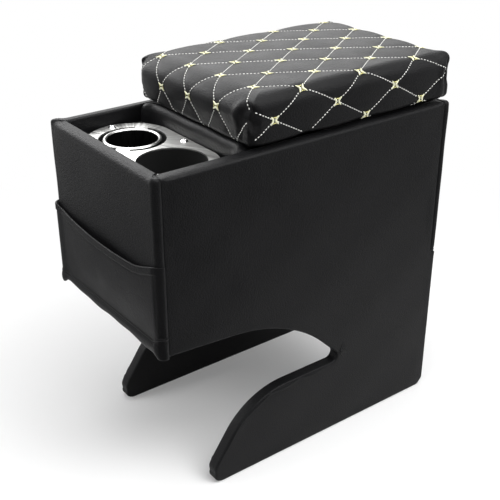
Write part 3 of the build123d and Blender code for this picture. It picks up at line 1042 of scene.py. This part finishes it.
def face_fill(loop, spacing):
    """Triangles over a closed loop: its own points first, then an even grid of points inside it."""
    least_gap = 0.6 * spacing
    fill_inside = 1
    merge_distance = 1e-7
    low, high = loop.min(axis=0), loop.max(axis=0)
    lines = (np.arange(low[i], high[i], spacing) for i in (0, 1))
    grid = np.stack(np.meshgrid(*lines), axis=-1).reshape(-1, 2)
    grid = grid[inside_loop(grid, loop)]
    points = np.concatenate([loop, grid[nearest(grid, loop) > least_gap]])
    count = len(loop)
    edges = [(i, (i + 1) % count) for i in range(count)]
    corners = [tuple(p) for p in points.tolist()]
    _, _, faces, sources, _, _ = delaunay_2d_cdt(corners, edges, [], fill_inside, merge_distance)
    source = np.array([s[0] for s in sources])
    return points, source[np.array(faces)]


def side_edges(loop, inward):
    """Rings round a side's outer and inner edge, from the middle of its thickness to its faces.

    A ring lies r(1 - cos t) in from the outline and b(1 - sin t) from the face, for t up to a right angle.
    r and b grow at the rim and shrink along the seams and at the corners that other covers meet.
    """
    tight = np.array(
        [
            (seam_y, body_top),
            (seam_y, ear_height),
            (rear_y, box_underside),
            (rear_seam_y, box_underside),
            (rear_seam_y, body_top),
        ]
    )
    on_rear_seam = hump(loop[:, 0], rear_seam_y, seam_band) * (loop[:, 1] > box_underside)
    on_seam = np.maximum(hump(loop[:, 0], seam_y, seam_band), on_rear_seam)
    tightened = np.maximum(on_seam, hump(nearest(loop, tight), 0, tight_band))
    at_rim = smoothstep(*side_rim_band, body_top - loop[:, 1])
    turn = np.linspace(0, math.pi / 2, edge_rings)[:, None]
    middle = (half_width + cover_face) / 2
    halves = []
    for rim, crown, facing in ((side_rim, side_crown, 1), (rim_inside, rim_inside, -1)):
        radius = leg_round + (rim - leg_round) * at_rim
        radius = radius + (seam_round - radius) * tightened
        breadth = leg_round + (crown - leg_round) * at_rim
        breadth = breadth + (seam_round - breadth) * tightened
        rings = loop[None] + inward[None] * (radius * (1 - np.cos(turn)))[..., None]
        stand = middle + facing * (wall / 2 - breadth * (1 - np.sin(turn)))
        halves.append(np.concatenate([stand[..., None], rings], axis=-1))
    return halves


def side_cover(sign):
    """One side's leatherette: a band of rings round the outline's edges, its two faces filled evenly."""
    loop = side_loop(side_spacing)
    ahead = unit(np.roll(loop, -1, axis=0) - np.roll(loop, 1, axis=0))
    inward = np.stack([-ahead[:, 1], ahead[:, 0]], axis=-1)
    outer, inner = side_edges(loop, inward)
    band = np.concatenate([inner[::-1], outer])
    count = len(loop)
    total = len(band) * count
    outer_fill, outer_faces = face_fill(outer[-1][:, 1:], side_spacing)
    inner_fill, inner_faces = face_fill(inner[-1][:, 1:], side_spacing)
    outer_extra = np.insert(outer_fill[count:], 0, half_width, axis=1)
    inner_extra = np.insert(inner_fill[count:], 0, cover_face, axis=1)
    points = np.concatenate([band.reshape(-1, 3), outer_extra, inner_extra])
    outer_faces = outer_faces - count + total
    inner_start = total + len(outer_extra) - count
    inner_faces = np.where(inner_faces < count, inner_faces, inner_faces + inner_start)
    facing = np.where(points[:, 0] > (half_width + cover_face) / 2, 1, -1)
    face = smoothstep(*side_wrinkle_band, nearest(points[:, 1:], loop[::3])) * facing
    points[:, 0] += face * wrinkles(points, side_wrinkle, sign)
    faces = [grid_faces(len(band), count, closed_columns=True), outer_faces, inner_faces[:, ::-1]]
    points[:, 0] *= sign
    if sign > 0:
        faces = [f[:, ::-1] for f in faces]
    side = "right" if sign > 0 else "left"
    leather_piece(f"{side}_side_leatherette", points, faces, [f"{side}_side_cover"])
    edge_folds(side, sign, loop, inward)


def edge_folds(side, sign, loop, inward):
    """Folds where the cover is drawn round the foot's edge and the notch: thin ridges half sunk in the face.

    The long ridge swings in from the edge as |sin|, pinned once a fold. Short ridges fan out in the notch.
    """
    face = sign * (half_width - fold_sink)
    notch_y = front_y + notch_back - 3 * notch_radius
    picked = (loop[:, 0] < notch_y) & (loop[:, 1] > toe_tip_radius)
    picked &= (loop[:, 1] < foot_height + fold_over_foot) & (inward[:, 1] < fold_slope)
    route, within = loop[picked], inward[picked]
    travel = np.concatenate([[0], np.cumsum(np.linalg.norm(np.diff(route, axis=0), axis=1))])
    fine = np.arange(0, travel[-1], fold_step)
    route = np.stack([np.interp(fine, travel, route[:, i]) for i in (0, 1)], axis=-1)
    within = np.stack([np.interp(fine, travel, within[:, i]) for i in (0, 1)], axis=-1)
    uneven = fold_steady + (1 - fold_steady) * np.sin(fine / fold_drift)
    offset = fold_start + fold_swing * np.abs(np.sin(math.pi * fine / fold_pitch)) * uneven
    run = np.insert(route + within * offset[:, None], 0, face, axis=1)[None]
    swell = np.sin(math.pi * np.linspace(fold_tip, 1 - fold_tip, len(fine)))
    swell = fold_ridge * np.sqrt(np.clip(swell, fold_least, 1))
    points, faces = tubes(run, np.broadcast_to((sign, 0.0, 0.0), run.shape), swell, 1.0, fold_sides)
    apex = (front_y + notch_back - notch_radius, foot_height + spoke_rise)
    spokes = np.radians(spoke_angles)[:, None]
    reach = np.linspace(*spoke_span, spoke_points)[None, :]
    fan = [apex[0] + reach * np.cos(spokes), apex[1] + reach * np.sin(spokes)]
    fan = np.stack([np.full(fan[0].shape, face), *fan], axis=-1)
    fan_swell = fold_ridge * np.sqrt(np.linspace(1, fold_least, spoke_points))
    fan_normals = np.broadcast_to((sign, 0.0, 0.0), fan.shape)
    fan_points, fan_faces = tubes(fan, fan_normals, fan_swell, spoke_flatness, spoke_sides)
    faces = faces + [f + len(points) for f in fan_faces]
    return leather_piece(f"{side}_foot_folds", np.concatenate([points, fan_points]), faces)


# Front, rear and divider covers


def wrapped_path(sign, step):
    """Outer and inner path of a cover wrapped round an end of the box, from the right seam to the left one.

    The outer path runs along the side, round the corner's arc and across the end. The inner path
    keeps to the inside of the wall, and waits at the corner while the outer path goes round.
    """
    end_y = front_y if sign < 0 else rear_y
    arc = front_round if sign < 0 else rear_round
    turn = np.linspace(0, math.pi / 2, arc_points)
    arc_x = half_width - arc + arc * np.cos(turn)
    arc_y = end_y - sign * arc + sign * arc * np.sin(turn)
    xs = clustered(arc - half_width, half_width - arc, step / 4, step, wrap_band)[-2:0:-1]
    start = np.array([[half_width, end_y - sign * seam_setback]])
    right = np.stack([arc_x, arc_y], axis=-1)
    middle = np.stack([xs, np.full(xs.shape, end_y)], axis=-1)
    left = right[::-1] * (-1, 1)
    outer = np.concatenate([start, right, middle, left, start * (-1, 1)])
    inner_x = np.clip(outer[:, 0], -cover_face, cover_face)
    into = smoothstep(half_width, cover_face, np.abs(outer[:, 0]))
    back = seam_setback + (wall - seam_setback) * np.clip(into * wrap_haste, 0, 1)
    inner = np.stack([inner_x, end_y - sign * back], axis=-1)
    return outer, inner


def wrapped_cover(name, sign, top, bottom, replaced):
    """A leatherette cover round one end wall: a rounded section carried along the wrapped path.

    The section goes up the outer face, over the rim's quarter circles, down the inner face and back under.
    """
    outer, inner = wrapped_path(sign, wrap_step)
    width = np.linalg.norm(inner - outer, axis=1)
    top_z = top(outer[:, 0])
    foot_z = bottom(outer[:, 0]) + cover_foot
    at_corner = smoothstep(*rim_corner_band, half_width - np.abs(outer[:, 0]))
    rim = rim_outside + (rim_corner - rim_outside) * at_corner
    quarter = np.linspace(0, math.pi / 2, rim_points)[:, None]
    over, under = 1 - np.cos(quarter), 1 - np.sin(quarter)
    span = np.linspace(0, 1, wall_rows)[1:-1, None]
    inner_span = span[::wall_stride]
    near = np.concatenate([cover_foot * under[::-1] + 0 * width, 0 * span + 0 * width, rim * over])
    far = np.concatenate([rim_inside * over[::-1], 0 * inner_span, cover_foot * under])
    into = np.concatenate([near / width, 1 - far / width])
    rise = np.concatenate(
        [
            foot_z - cover_foot * np.cos(quarter[::-1]),
            foot_z + span * (top_z - rim - foot_z),
            top_z - rim + rim * np.sin(quarter),
            top_z - rim_inside + rim_inside * np.sin(quarter[::-1]),
            top_z - rim_inside + inner_span * (foot_z - top_z + rim_inside),
            foot_z - cover_foot * np.cos(quarter),
        ]
    )
    plan = outer[None] + into[..., None] * (inner - outer)[None]
    points = np.concatenate([plan, rise[..., None]], axis=-1)
    tangent = unit(np.gradient(outer, axis=0))
    out = np.stack([-tangent[:, 1], tangent[:, 0]], axis=-1) * -sign
    facing = (into < outer_skin) * smoothstep(0, wall_wrinkle_band, top_z - rise)
    points[..., :2] += out[None] * (facing * wrinkles(points, wall_wrinkle, sign))[..., None]
    return leather_piece(name, points, section_faces(*into.shape, turned=sign < 0), [replaced])


def end_covers():
    """The front cover, with a small raised fold at its top corners and ears below, and the rear cover."""

    def front_top(x):
        return body_top + corner_fold * hump(np.abs(x), half_width - corner_fold_inset, corner_fold_width)

    def front_bottom(x):
        return box_underside - (box_underside - ear_height) * smoothstep(cover_face, half_width, np.abs(x))

    def level(height):
        return lambda x: np.full(x.shape, height)

    wrapped_cover("front_leatherette", -1, front_top, front_bottom, "front_cover")
    wrapped_cover("rear_leatherette", 1, level(body_top), level(box_underside), "rear_cover")


def divider_cushion():
    """The padded wall between the cups and the box: a section with a round top, carried across the box.

    Its top dips as a bell at both ends and ripples as a sine. Its front swells at both ends.
    """
    xs = clustered(-cover_face, cover_face, *divider_steps)
    middle = (divider_low[1] + divider_high[1]) / 2
    half = (divider_high[1] - divider_low[1]) / 2
    low = divider_low[2]
    top = divider_high[2] - divider_dip * hump(np.abs(xs), cover_face, divider_dip_width)
    top = top + divider_ripple * np.sin(xs / divider_ripple_length)
    turn = np.linspace(0, math.pi, divider_arc)
    lift = np.linspace(0, 1, divider_rows)[:-1]
    y = np.concatenate([np.full(lift.shape, -half), -half * np.cos(turn), np.full(lift.shape, half)])[:, None]
    share = np.concatenate([lift, np.ones(turn.shape), lift[::-1]])[:, None]
    arch = np.concatenate([0 * lift, np.sin(turn), 0 * lift])[:, None]
    z = low + share * (top - divider_crown - low) + arch * divider_crown
    points = np.stack([xs + 0 * z, middle + y + 0 * z, z], axis=-1)
    plain = smoothstep(0, divider_wrinkle_band, cover_face - np.abs(xs))
    points[..., 1] += wrinkles(points, divider_wrinkle) * plain
    swollen = divider_swell * hump(np.abs(xs), cover_face - divider_swell_inset, divider_swell_width)
    swollen = swollen * smoothstep(low, low + divider_swell_rise, z)
    points[..., 1] -= swollen * (y < 0)
    return leather_piece("divider_leatherette", points, section_faces(*z.shape), ["divider_cover"])


def pocket_sheet():
    """The front pocket: a sheet that bows away from the front face towards its open hemmed top.

    Its section goes up the outside, over the hem's half circle and down the inside, and is carried along
    the wrapped path. The bow is parabolic across the front and grows with height.
    """
    look = settings().pocket
    outer, _ = wrapped_path(-1, wrap_step)
    tangent = unit(np.gradient(outer, axis=0))
    out = np.stack([tangent[:, 1], -tangent[:, 0]], axis=-1)
    out = np.where((out * (outer - (0, front_y + wall))).sum(axis=1, keepdims=True) < 0, -out, out)
    x = outer[:, 0]
    bow = np.clip(1 - (x / (half_width - front_round)) ** 2, 0, 1)
    head = pocket_high[2] - look.sag * bow**pocket_sag_power
    head = head + look.pull * smoothstep(pocket_pull_from, half_width, x)
    waves = [height * np.sin(x / length + phase) for height, length, phase in pocket_foot_waves]
    foot = box_underside + sum(waves)
    at_ear = smoothstep(cover_face, half_width - pocket_foot_inset, np.abs(x))
    foot = foot - (box_underside - ear_height + pocket_foot_drop) * at_ear
    seam = pocket_low[2] + pocket_seam_lean * x / half_width
    seam = seam + pocket_seam_kick * smoothstep(cover_face, half_width, x)
    rise = np.concatenate([np.linspace(0, 1, strip_rows)[:-1], 1 + clustered(0, 1, *pocket_steps)])[:, None]
    below = rise < 1
    z = np.where(below, foot + rise * (seam - foot), seam + (rise - 1) * (head - seam))
    t = np.clip(rise - 1, 0, 1)
    belly = look.bulge * bow * t**pocket_bow_power
    belly = belly + pocket_belly * np.sin(math.pi * t) * bow**pocket_belly_power
    strip = pocket_strip * np.sin(math.pi * np.clip(rise, 0, 1)) ** pocket_strip_power
    flush = 1 - smoothstep(*flush_band, half_width - x)
    near_hem = smoothstep(*hem_band, head - z) * flush
    stand = look.cloth * (flush_cloth + (1 - flush_cloth) * flush) + pocket_gap
    stand = stand + belly + strip * below * flush
    stand = stand + hem_fold * near_hem
    stand = stand - hem_groove * hump(head - z, hem_groove_place, hem_groove_width) * flush
    stand = stand + seam_ridge * hump(z, seam + seam_ridge_place, seam_line_width)
    stand = stand - seam_groove * hump(z, seam - seam_groove_place, seam_line_width)
    stand = stand + pocket_left_lift * smoothstep(pocket_left_from, half_width - pocket_left_inset, -x)
    turn = np.linspace(0, math.pi, rim_points)[1:-1, None]
    hem = (look.cloth / 2 + hem_round) * (flush_hem + (1 - flush_hem) * flush)
    hem_stand = stand[-1] - hem + hem * np.cos(turn)
    hem_z = z[-1] + hem * np.sin(turn)
    back_stand = (stand - 2 * hem + hem_back * (flush - near_hem))[::-1]
    stand = np.concatenate([stand, hem_stand, np.maximum(back_stand, pocket_least_gap)])
    z = np.concatenate([z, hem_z, z[::-1]])
    plan = outer[None] + out[None] * stand[..., None]
    points = np.concatenate([plan, z[..., None]], axis=-1)
    faces = section_faces(*z.shape, turned=True)
    piece = leather_piece("front_pocket_sheet", points, faces, ["front_pocket"])
    return piece


# Cup holder


def screw_heads():
    """Domed screw heads with a cross recess: a parabola over a polar grid, sunk along two lines."""
    low, high = node_box("cup_screws")
    dome = high[2] - plate_high[2]
    middle_y = (plate_low[1] + plate_high[1]) / 2
    head = middle_y - low[1]
    inset = plate_high[0] + head - high[0]
    places = np.array(
        [
            (plate_high[0] - inset, middle_y, plate_high[2]),
            (plate_low[0] + inset, middle_y, plate_high[2]),
            (0, plate_high[1] - inset, plate_high[2]),
        ]
    )
    share = np.sqrt(np.linspace(0, 1, head_rings))[1:, None]
    turn = np.linspace(0, 2 * math.pi, head_sides, endpoint=False)[None, :]
    x, y = head * share * np.cos(turn), head * share * np.sin(turn)
    across = np.minimum(np.abs(x), np.abs(y)) / slot_half
    recess = smoothstep(*slot_edge, across) * smoothstep(*slot_end, share)
    z = dome * (1 - share**2) - slot_depth * recess
    rim = np.stack([x, y, z], axis=-1).reshape(-1, 3)
    one = np.concatenate([rim, [(0, 0, dome - slot_depth)]])
    rows, columns = z.shape
    first = np.arange(columns)
    fan = np.stack([np.full(columns, rows * columns), first, np.roll(first, -1)], axis=-1)
    base = (first + (rows - 1) * columns)[None, ::-1]
    quads = grid_faces(rows, columns, closed_columns=True)[:, ::-1]
    shift = (np.arange(len(places)) * len(one))[:, None, None]
    points = (one[None] + places[:, None]).reshape(-1, 3)
    faces = [(f[None] + shift).reshape(-1, f.shape[1]) for f in (quads, fan, base)]
    chrome = brushed_metal("polished screw", (0.75, 0.75, 0.75), stretch=(300, 300, 300), roughness=0.15)
    return mesh_object("cup_screw_heads", points, faces, "base", chrome, ["cup_screws"])


# Settings


class LeatherSettings(PropertyGroup):
    """Finish of the black leatherette."""

    colour: FloatVectorProperty(
        name="Colour",
        description="Dye of the leatherette",
        subtype="COLOR",
        default=(0.006, 0.006, 0.0065),
        min=0,
        max=1,
    )
    roughness: FloatProperty(
        name="Roughness", description="How matt the surface is", default=0.40, min=0.1, max=1
    )
    shine: FloatProperty(name="Shine", description="Strength of its reflections", default=0.10, min=0, max=1)
    grain: FloatProperty(name="Grain", description="Width of a pebble", unit="LENGTH", default=1.6 * mm)
    grain_depth: FloatProperty(
        name="Grain depth", description="Relief of the pebbles", unit="LENGTH", default=0.45 * mm
    )


class QuiltSettings(PropertyGroup):
    """Pattern and sewing of the quilted lid."""

    across: FloatProperty(name="Across", description="Width of a diamond", unit="LENGTH", default=49.5 * mm)
    along: FloatProperty(name="Along", description="Length of a diamond", unit="LENGTH", default=77.8 * mm)
    puff: FloatProperty(
        name="Puff", description="Height of a diamond over its seams", unit="LENGTH", default=1.3 * mm
    )
    shoulder: FloatProperty(
        name="Shoulder", description="Width of the slope beside a seam", unit="LENGTH", default=7 * mm
    )
    stitch: FloatProperty(name="Stitch", description="Length of a stitch", unit="LENGTH", default=2.1 * mm)
    stitch_gap: FloatProperty(name="Gap", description="Gap between stitches", unit="LENGTH", default=1.5 * mm)
    thread: FloatProperty(
        name="Thread", description="Thickness of the thread", unit="LENGTH", default=1.15 * mm
    )
    knot: FloatProperty(name="Knot", description="Width of a crossing's knot", unit="LENGTH", default=9 * mm)
    knot_gap: FloatProperty(
        name="Knot gap", description="Gap in a knot's middle", unit="LENGTH", default=3.4 * mm
    )
    thread_colour: FloatVectorProperty(
        name="Thread colour",
        description="Cream thread",
        subtype="COLOR",
        default=(0.93, 0.92, 0.85),
        min=0,
        max=1,
    )
    knot_colour: FloatVectorProperty(
        name="Knot colour",
        description="Pale yellow thread",
        subtype="COLOR",
        default=(0.92, 0.90, 0.62),
        min=0,
        max=1,
    )
    tie_colour: FloatVectorProperty(
        name="Tie colour",
        description="Yellow thread",
        subtype="COLOR",
        default=(0.84, 0.78, 0.30),
        min=0,
        max=1,
    )


class PocketSettings(PropertyGroup):
    """Cut of the front pocket."""

    bulge: FloatProperty(
        name="Bulge", description="How far the pocket stands open", unit="LENGTH", default=3.6 * mm
    )
    sag: FloatProperty(name="Sag", description="Dip of the top edge", unit="LENGTH", default=7 * mm)
    pull: FloatProperty(
        name="Pull", description="Rise of the top edge at the right", unit="LENGTH", default=6 * mm
    )
    cloth: FloatProperty(name="Cloth", description="Thickness of the sheet", unit="LENGTH", default=1.4 * mm)


class StageSettings(PropertyGroup):
    """Studio light and camera."""

    floor: FloatVectorProperty(
        name="Floor",
        description="Colour of the floor",
        subtype="COLOR",
        default=(0.92, 0.92, 0.92),
        min=0,
        max=1,
    )
    ambient: FloatProperty(
        name="Ambient", description="Strength of the white surroundings", default=0.12, min=0
    )
    overhead: FloatProperty(
        name="Overhead", description="Power of the overhead softbox", unit="POWER", default=30.0
    )
    back: FloatProperty(name="Back", description="Power of the softbox behind", unit="POWER", default=33.0)
    fill: FloatProperty(
        name="Fill", description="Power of the softbox on the right", unit="POWER", default=48.0
    )
    left: FloatProperty(
        name="Left", description="Power of the softbox on the left", unit="POWER", default=36.0
    )
    front: FloatProperty(
        name="Front", description="Power of the fill light in front", unit="POWER", default=18.0
    )
    camera_place: FloatVectorProperty(
        name="Camera", description="Where the camera stands", subtype="XYZ", default=(0.7406, -0.5583, 0.6808)
    )
    camera_turn: FloatVectorProperty(
        name="Camera turn",
        description="How the camera is turned",
        subtype="EULER",
        default=(1.0961, 0.0, 0.92995),
    )
    lens: FloatProperty(name="Lens", description="Focal length in millimetres", default=66.12)


class ArmrestSettings(PropertyGroup):
    """All settings of the armrest."""

    leather: PointerProperty(type=LeatherSettings)
    quilt: PointerProperty(type=QuiltSettings)
    pocket: PointerProperty(type=PocketSettings)
    stage: PointerProperty(type=StageSettings)


# Operators


class ARMREST_OT_lid_pad(Operator):
    """Upholster the lid with its quilted pad"""

    bl_idname = "armrest.lid_pad"
    bl_label = "Lid pad"

    def execute(self, context):
        quilted_pad()
        return {"FINISHED"}


class ARMREST_OT_lid_stitches(Operator):
    """Sew the stitches and knots of the quilting"""

    bl_idname = "armrest.lid_stitches"
    bl_label = "Lid stitches"

    def execute(self, context):
        quilt_stitches()
        return {"FINISHED"}


class ARMREST_OT_side_covers(Operator):
    """Cover both sides with leatherette"""

    bl_idname = "armrest.side_covers"
    bl_label = "Side covers"

    def execute(self, context):
        for sign in (1, -1):
            side_cover(sign)
        return {"FINISHED"}


class ARMREST_OT_wall_covers(Operator):
    """Cover the front, the rear and the divider with leatherette"""

    bl_idname = "armrest.wall_covers"
    bl_label = "Wall covers"

    def execute(self, context):
        end_covers()
        divider_cushion()
        return {"FINISHED"}


class ARMREST_OT_front_pocket(Operator):
    """Sew the pocket on to the front"""

    bl_idname = "armrest.front_pocket"
    bl_label = "Front pocket"

    def execute(self, context):
        pocket_sheet()
        return {"FINISHED"}


class ARMREST_OT_cup_holder(Operator):
    """Finish the cup holder: brushed plate, black wells, metal sleeve and screws"""

    bl_idname = "armrest.cup_holder"
    bl_label = "Cup holder"

    def execute(self, context):
        moulding = {"spread": 0.3, "scale": 900.0, "roughness": 0.36, "depth": 0.05 * mm}
        paintwork = {"spread": 0.3, "scale": 300.0, "roughness": 0.7, "depth": 0.1 * mm}
        paint("cup_plate", sunray_metal("brushed plate"))
        paint("bottle_sleeve", metal_with_painted_highlight("satin sleeve"))
        paint("cup_tray", grained("black moulding", (0.015, 0.015, 0.015), **moulding))
        paint("cup_shelf", grained("black painted board", (0.004, 0.004, 0.004), **paintwork))
        screw_heads()
        return {"FINISHED"}


class ARMREST_OT_inner_parts(Operator):
    """Finish the boards, linings, hinge and screws"""

    bl_idname = "armrest.inner_parts"
    bl_label = "Inner parts"

    def execute(self, context):
        wood = {"spread": 0.35, "scale": 9.0, "roughness": 0.6, "depth": 0.2 * mm, "stretch": (30, 3, 30)}
        nap = {"spread": 0.5, "scale": 1500.0, "roughness": 0.95, "depth": 0.6 * mm}
        weave = {"spread": 0.5, "scale": 1100.0, "roughness": 0.9, "depth": 0.4 * mm}
        ply = grained("plywood", (0.50, 0.34, 0.18), **wood)
        felt = grained("black felt", (0.014, 0.014, 0.015), **nap)
        backing = grained("woven backing", (0.02, 0.02, 0.02), **weave)
        steel = brushed_metal("hinge steel", (0.55, 0.55, 0.56), stretch=(10, 500, 500), roughness=0.28)
        zinc = brushed_metal("zinc screw", (0.6, 0.6, 0.58), stretch=(400, 400, 400), roughness=0.35)
        finishes = {
            ply: [
                "right_side_panel",
                "left_side_panel",
                "front_panel",
                "rear_panel",
                "divider_panel",
                "box_floor",
                "lid_board",
            ],
            felt: ["bin_carpet", "lid_liner"],
            backing: ["underside_cover"],
            steel: ["hinge_leaf_body", "hinge_leaf_lid", "hinge_pin"],
            zinc: ["panel_screws", "hinge_screws_body", "hinge_screws_lid"],
        }
        for material, members in finishes.items():
            for node in members:
                paint(node, material)
        return {"FINISHED"}


class ARMREST_OT_stage(Operator):
    """Set up the floor, the lights and the camera"""

    bl_idname = "armrest.stage"
    bl_label = "Stage"

    def execute(self, context):
        build_stage(context.scene)
        return {"FINISHED"}


# Stage


def seen_rays(tree):
    """Output that is 1 for the rays that show the background: camera, glossy and transmission rays."""
    path = add_node(tree, "ShaderNodeLightPath")
    sharp = [(path.outputs["Is Camera Ray"], 0), (path.outputs["Is Glossy Ray"], 1)]
    sharp = add_node(tree, "ShaderNodeMath", sharp, operation="MAXIMUM")
    either = [(sharp.outputs[0], 0), (path.outputs["Is Transmission Ray"], 1)]
    return add_node(tree, "ShaderNodeMath", either, operation="MAXIMUM").outputs[0]


def floor_material():
    """White floor that keeps the shadow: it glows for rays that see it as background, more further out."""
    material, tree, shader = new_material("studio floor")
    look = settings().stage
    place = object_place(tree)
    noise = add_node(tree, "ShaderNodeTexNoise", [(place, "Vector")], Scale=3.0, Detail=2.0)
    tone = two_colours(tree, noise.outputs[0], tinted(look.floor, 0.99), tinted(look.floor, 1.01))
    tree.links.new(tone, shader.inputs["Base Color"])
    shader.inputs["Roughness"].default_value = 0.9
    shader.inputs["Specular IOR Level"].default_value = 0.0
    glow = add_node(tree, "ShaderNodeEmission", Strength=1.0)
    reach = add_node(tree, "ShaderNodeVectorMath", [(place, 0)], operation="LENGTH").outputs["Value"]
    far = map_range(tree, reach, floor_fade, floor_glow, interpolation_type="SMOOTHSTEP")
    share = add_node(tree, "ShaderNodeMath", [(seen_rays(tree), 0), (far, 1)], operation="MULTIPLY")
    blend = [(share.outputs[0], 0), (shader.outputs[0], 1), (glow.outputs[0], 2)]
    mix = add_node(tree, "ShaderNodeMixShader", blend)
    tree.links.new(mix.outputs[0], tree.nodes["Material Output"].inputs["Surface"])
    return material


def stage_object(name, data):
    """An object of the stage, linked to the scene."""
    piece = bpy.data.objects.new(name, data)
    bpy.context.scene.collection.objects.link(piece)
    return piece


def stage_board(name, corners, material):
    """A flat four-cornered board of the stage."""
    mesh = bpy.data.meshes.new(name)
    mesh.from_pydata(np.asarray(corners).tolist(), [], [(0, 1, 2, 3)])
    mesh.materials.append(material)
    board = stage_object(name, mesh)
    return board


def softbox(name, place, aim, size, power, shines=True, mirrored=True):
    """A rectangular area light that faces a point.

    One that does not shine is only seen in reflections. One that is not mirrored is a fill light without a
    reflection or a shadow.
    """
    lamp = bpy.data.lights.new(name, "AREA")
    lamp.shape = "RECTANGLE"
    lamp.size, lamp.size_y = size
    lamp.energy = power
    lamp.use_shadow = mirrored
    lamp_object = stage_object(name, lamp)
    lamp_object.location = place
    direction = Vector(aim) - Vector(place)
    lamp_object.rotation_euler = direction.to_track_quat("-Z", "Y").to_euler()
    lamp_object.visible_diffuse = shines
    lamp_object.visible_glossy = mirrored
    return lamp_object


def flag(name, ahead_span, across_span, grey):
    """A dark board on the floor that only reflections see, by its spans towards the camera and across."""
    camera = np.array(settings().stage.camera_place[:2])
    ahead = camera / np.linalg.norm(camera)
    across = np.array([-ahead[1], ahead[0]])
    near, far = ahead_span
    left, right = across_span
    corners = np.array([(near, left), (far, left), (far, right), (near, right)])
    outline = corners[:, :1] * ahead + corners[:, 1:] * across
    matt = grained(name, (grey, grey, grey), spread=0.3, scale=40.0, roughness=0.9, depth=0.2 * mm)
    board = stage_board(name, np.insert(outline, 2, flag_height, axis=1), matt)
    board.visible_camera = False
    board.visible_diffuse = False
    board.visible_shadow = False


def build_stage(scene):
    """Floor, surroundings, flags, softboxes and camera, with places and sizes in metres."""
    look = settings().stage
    ways = ((-1, -1), (1, -1), (1, 1), (-1, 1))
    stage_board("studio_floor", [(x * floor_half, y * floor_half, 0) for x, y in ways], floor_material())
    world = bpy.data.worlds.new("studio")
    scene.world = world
    world.use_nodes = True
    tree = world.node_tree
    background = tree.nodes["Background"]
    background.inputs["Color"].default_value = (1, 1, 1, 1)
    strength = map_range(tree, seen_rays(tree), (0, 1), (look.ambient, 1.0))
    tree.links.new(strength, background.inputs["Strength"])
    flag("black_flag", ahead_span=(0.24, 1.4), across_span=(-1.2, 1.2), grey=0.01)
    flag("front_flag", ahead_span=(-0.5, 0.24), across_span=(-1.3, -0.4), grey=0.25)
    flag("side_flag", ahead_span=(-0.3, 0.24), across_span=(0.62, 1.4), grey=0.5)
    softbox("overhead_softbox", place=(0.1, -0.1, 1.9), aim=(0, 0, 0.2), size=(1.6, 1.6), power=look.overhead)
    softbox("right_softbox", place=(1.5, 0.9, 2.2), aim=(0, 0, 0), size=(1.6, 1.6), power=look.fill)
    softbox(
        "front_fill",
        place=(-0.9, -1.5, 1.0),
        aim=(0, 0, 0.3),
        size=(1.2, 1.2),
        power=look.front,
        mirrored=False,
    )
    softbox(
        "back_softbox",
        place=(-1.4, 0.88, 1.69),
        aim=(0, 0.05, 0.4),
        size=(1.5, 1.6),
        power=look.back,
        shines=False,
    )
    softbox(
        "left_softbox",
        place=(-1.6, -0.5, 1.3),
        aim=(0, 0, 0.4),
        size=(1.4, 1.3),
        power=look.left,
        shines=False,
    )
    camera = bpy.data.cameras.new("photo_camera")
    camera.lens = look.lens
    camera.sensor_width = sensor_width
    camera_object = stage_object("photo_camera", camera)
    camera_object.location = look.camera_place
    camera_object.rotation_euler = look.camera_turn
    scene.camera = camera_object
    scene.view_settings.view_transform = "Standard"


# Add-on


operators = (
    ARMREST_OT_lid_pad,
    ARMREST_OT_lid_stitches,
    ARMREST_OT_side_covers,
    ARMREST_OT_wall_covers,
    ARMREST_OT_front_pocket,
    ARMREST_OT_cup_holder,
    ARMREST_OT_inner_parts,
    ARMREST_OT_stage,
)


class ARMREST_PT_panel(Panel):
    """Lists the armrest's pieces in the sidebar"""

    bl_label = "Armrest"
    bl_space_type = "VIEW_3D"
    bl_region_type = "UI"
    bl_category = "Armrest"

    def draw(self, context):
        for operator in operators:
            self.layout.operator(operator.bl_idname)


classes = (
    LeatherSettings,
    QuiltSettings,
    PocketSettings,
    StageSettings,
    ArmrestSettings,
    *operators,
    ARMREST_PT_panel,
)


def register():
    """Adds the settings, the operators and the panel to Blender."""
    for cls in classes:
        bpy.utils.register_class(cls)
    bpy.types.Scene.armrest = PointerProperty(type=ArmrestSettings)


def unregister():
    """Takes them out again."""
    del bpy.types.Scene.armrest
    for cls in reversed(classes):
        bpy.utils.unregister_class(cls)


def main():
    register()
    bpy.ops.armrest.lid_pad()
    bpy.ops.armrest.lid_stitches()
    bpy.ops.armrest.side_covers()
    bpy.ops.armrest.wall_covers()
    bpy.ops.armrest.front_pocket()
    bpy.ops.armrest.cup_holder()
    bpy.ops.armrest.inner_parts()
    bpy.ops.armrest.stage()


if __name__ == "__main__":
    main()
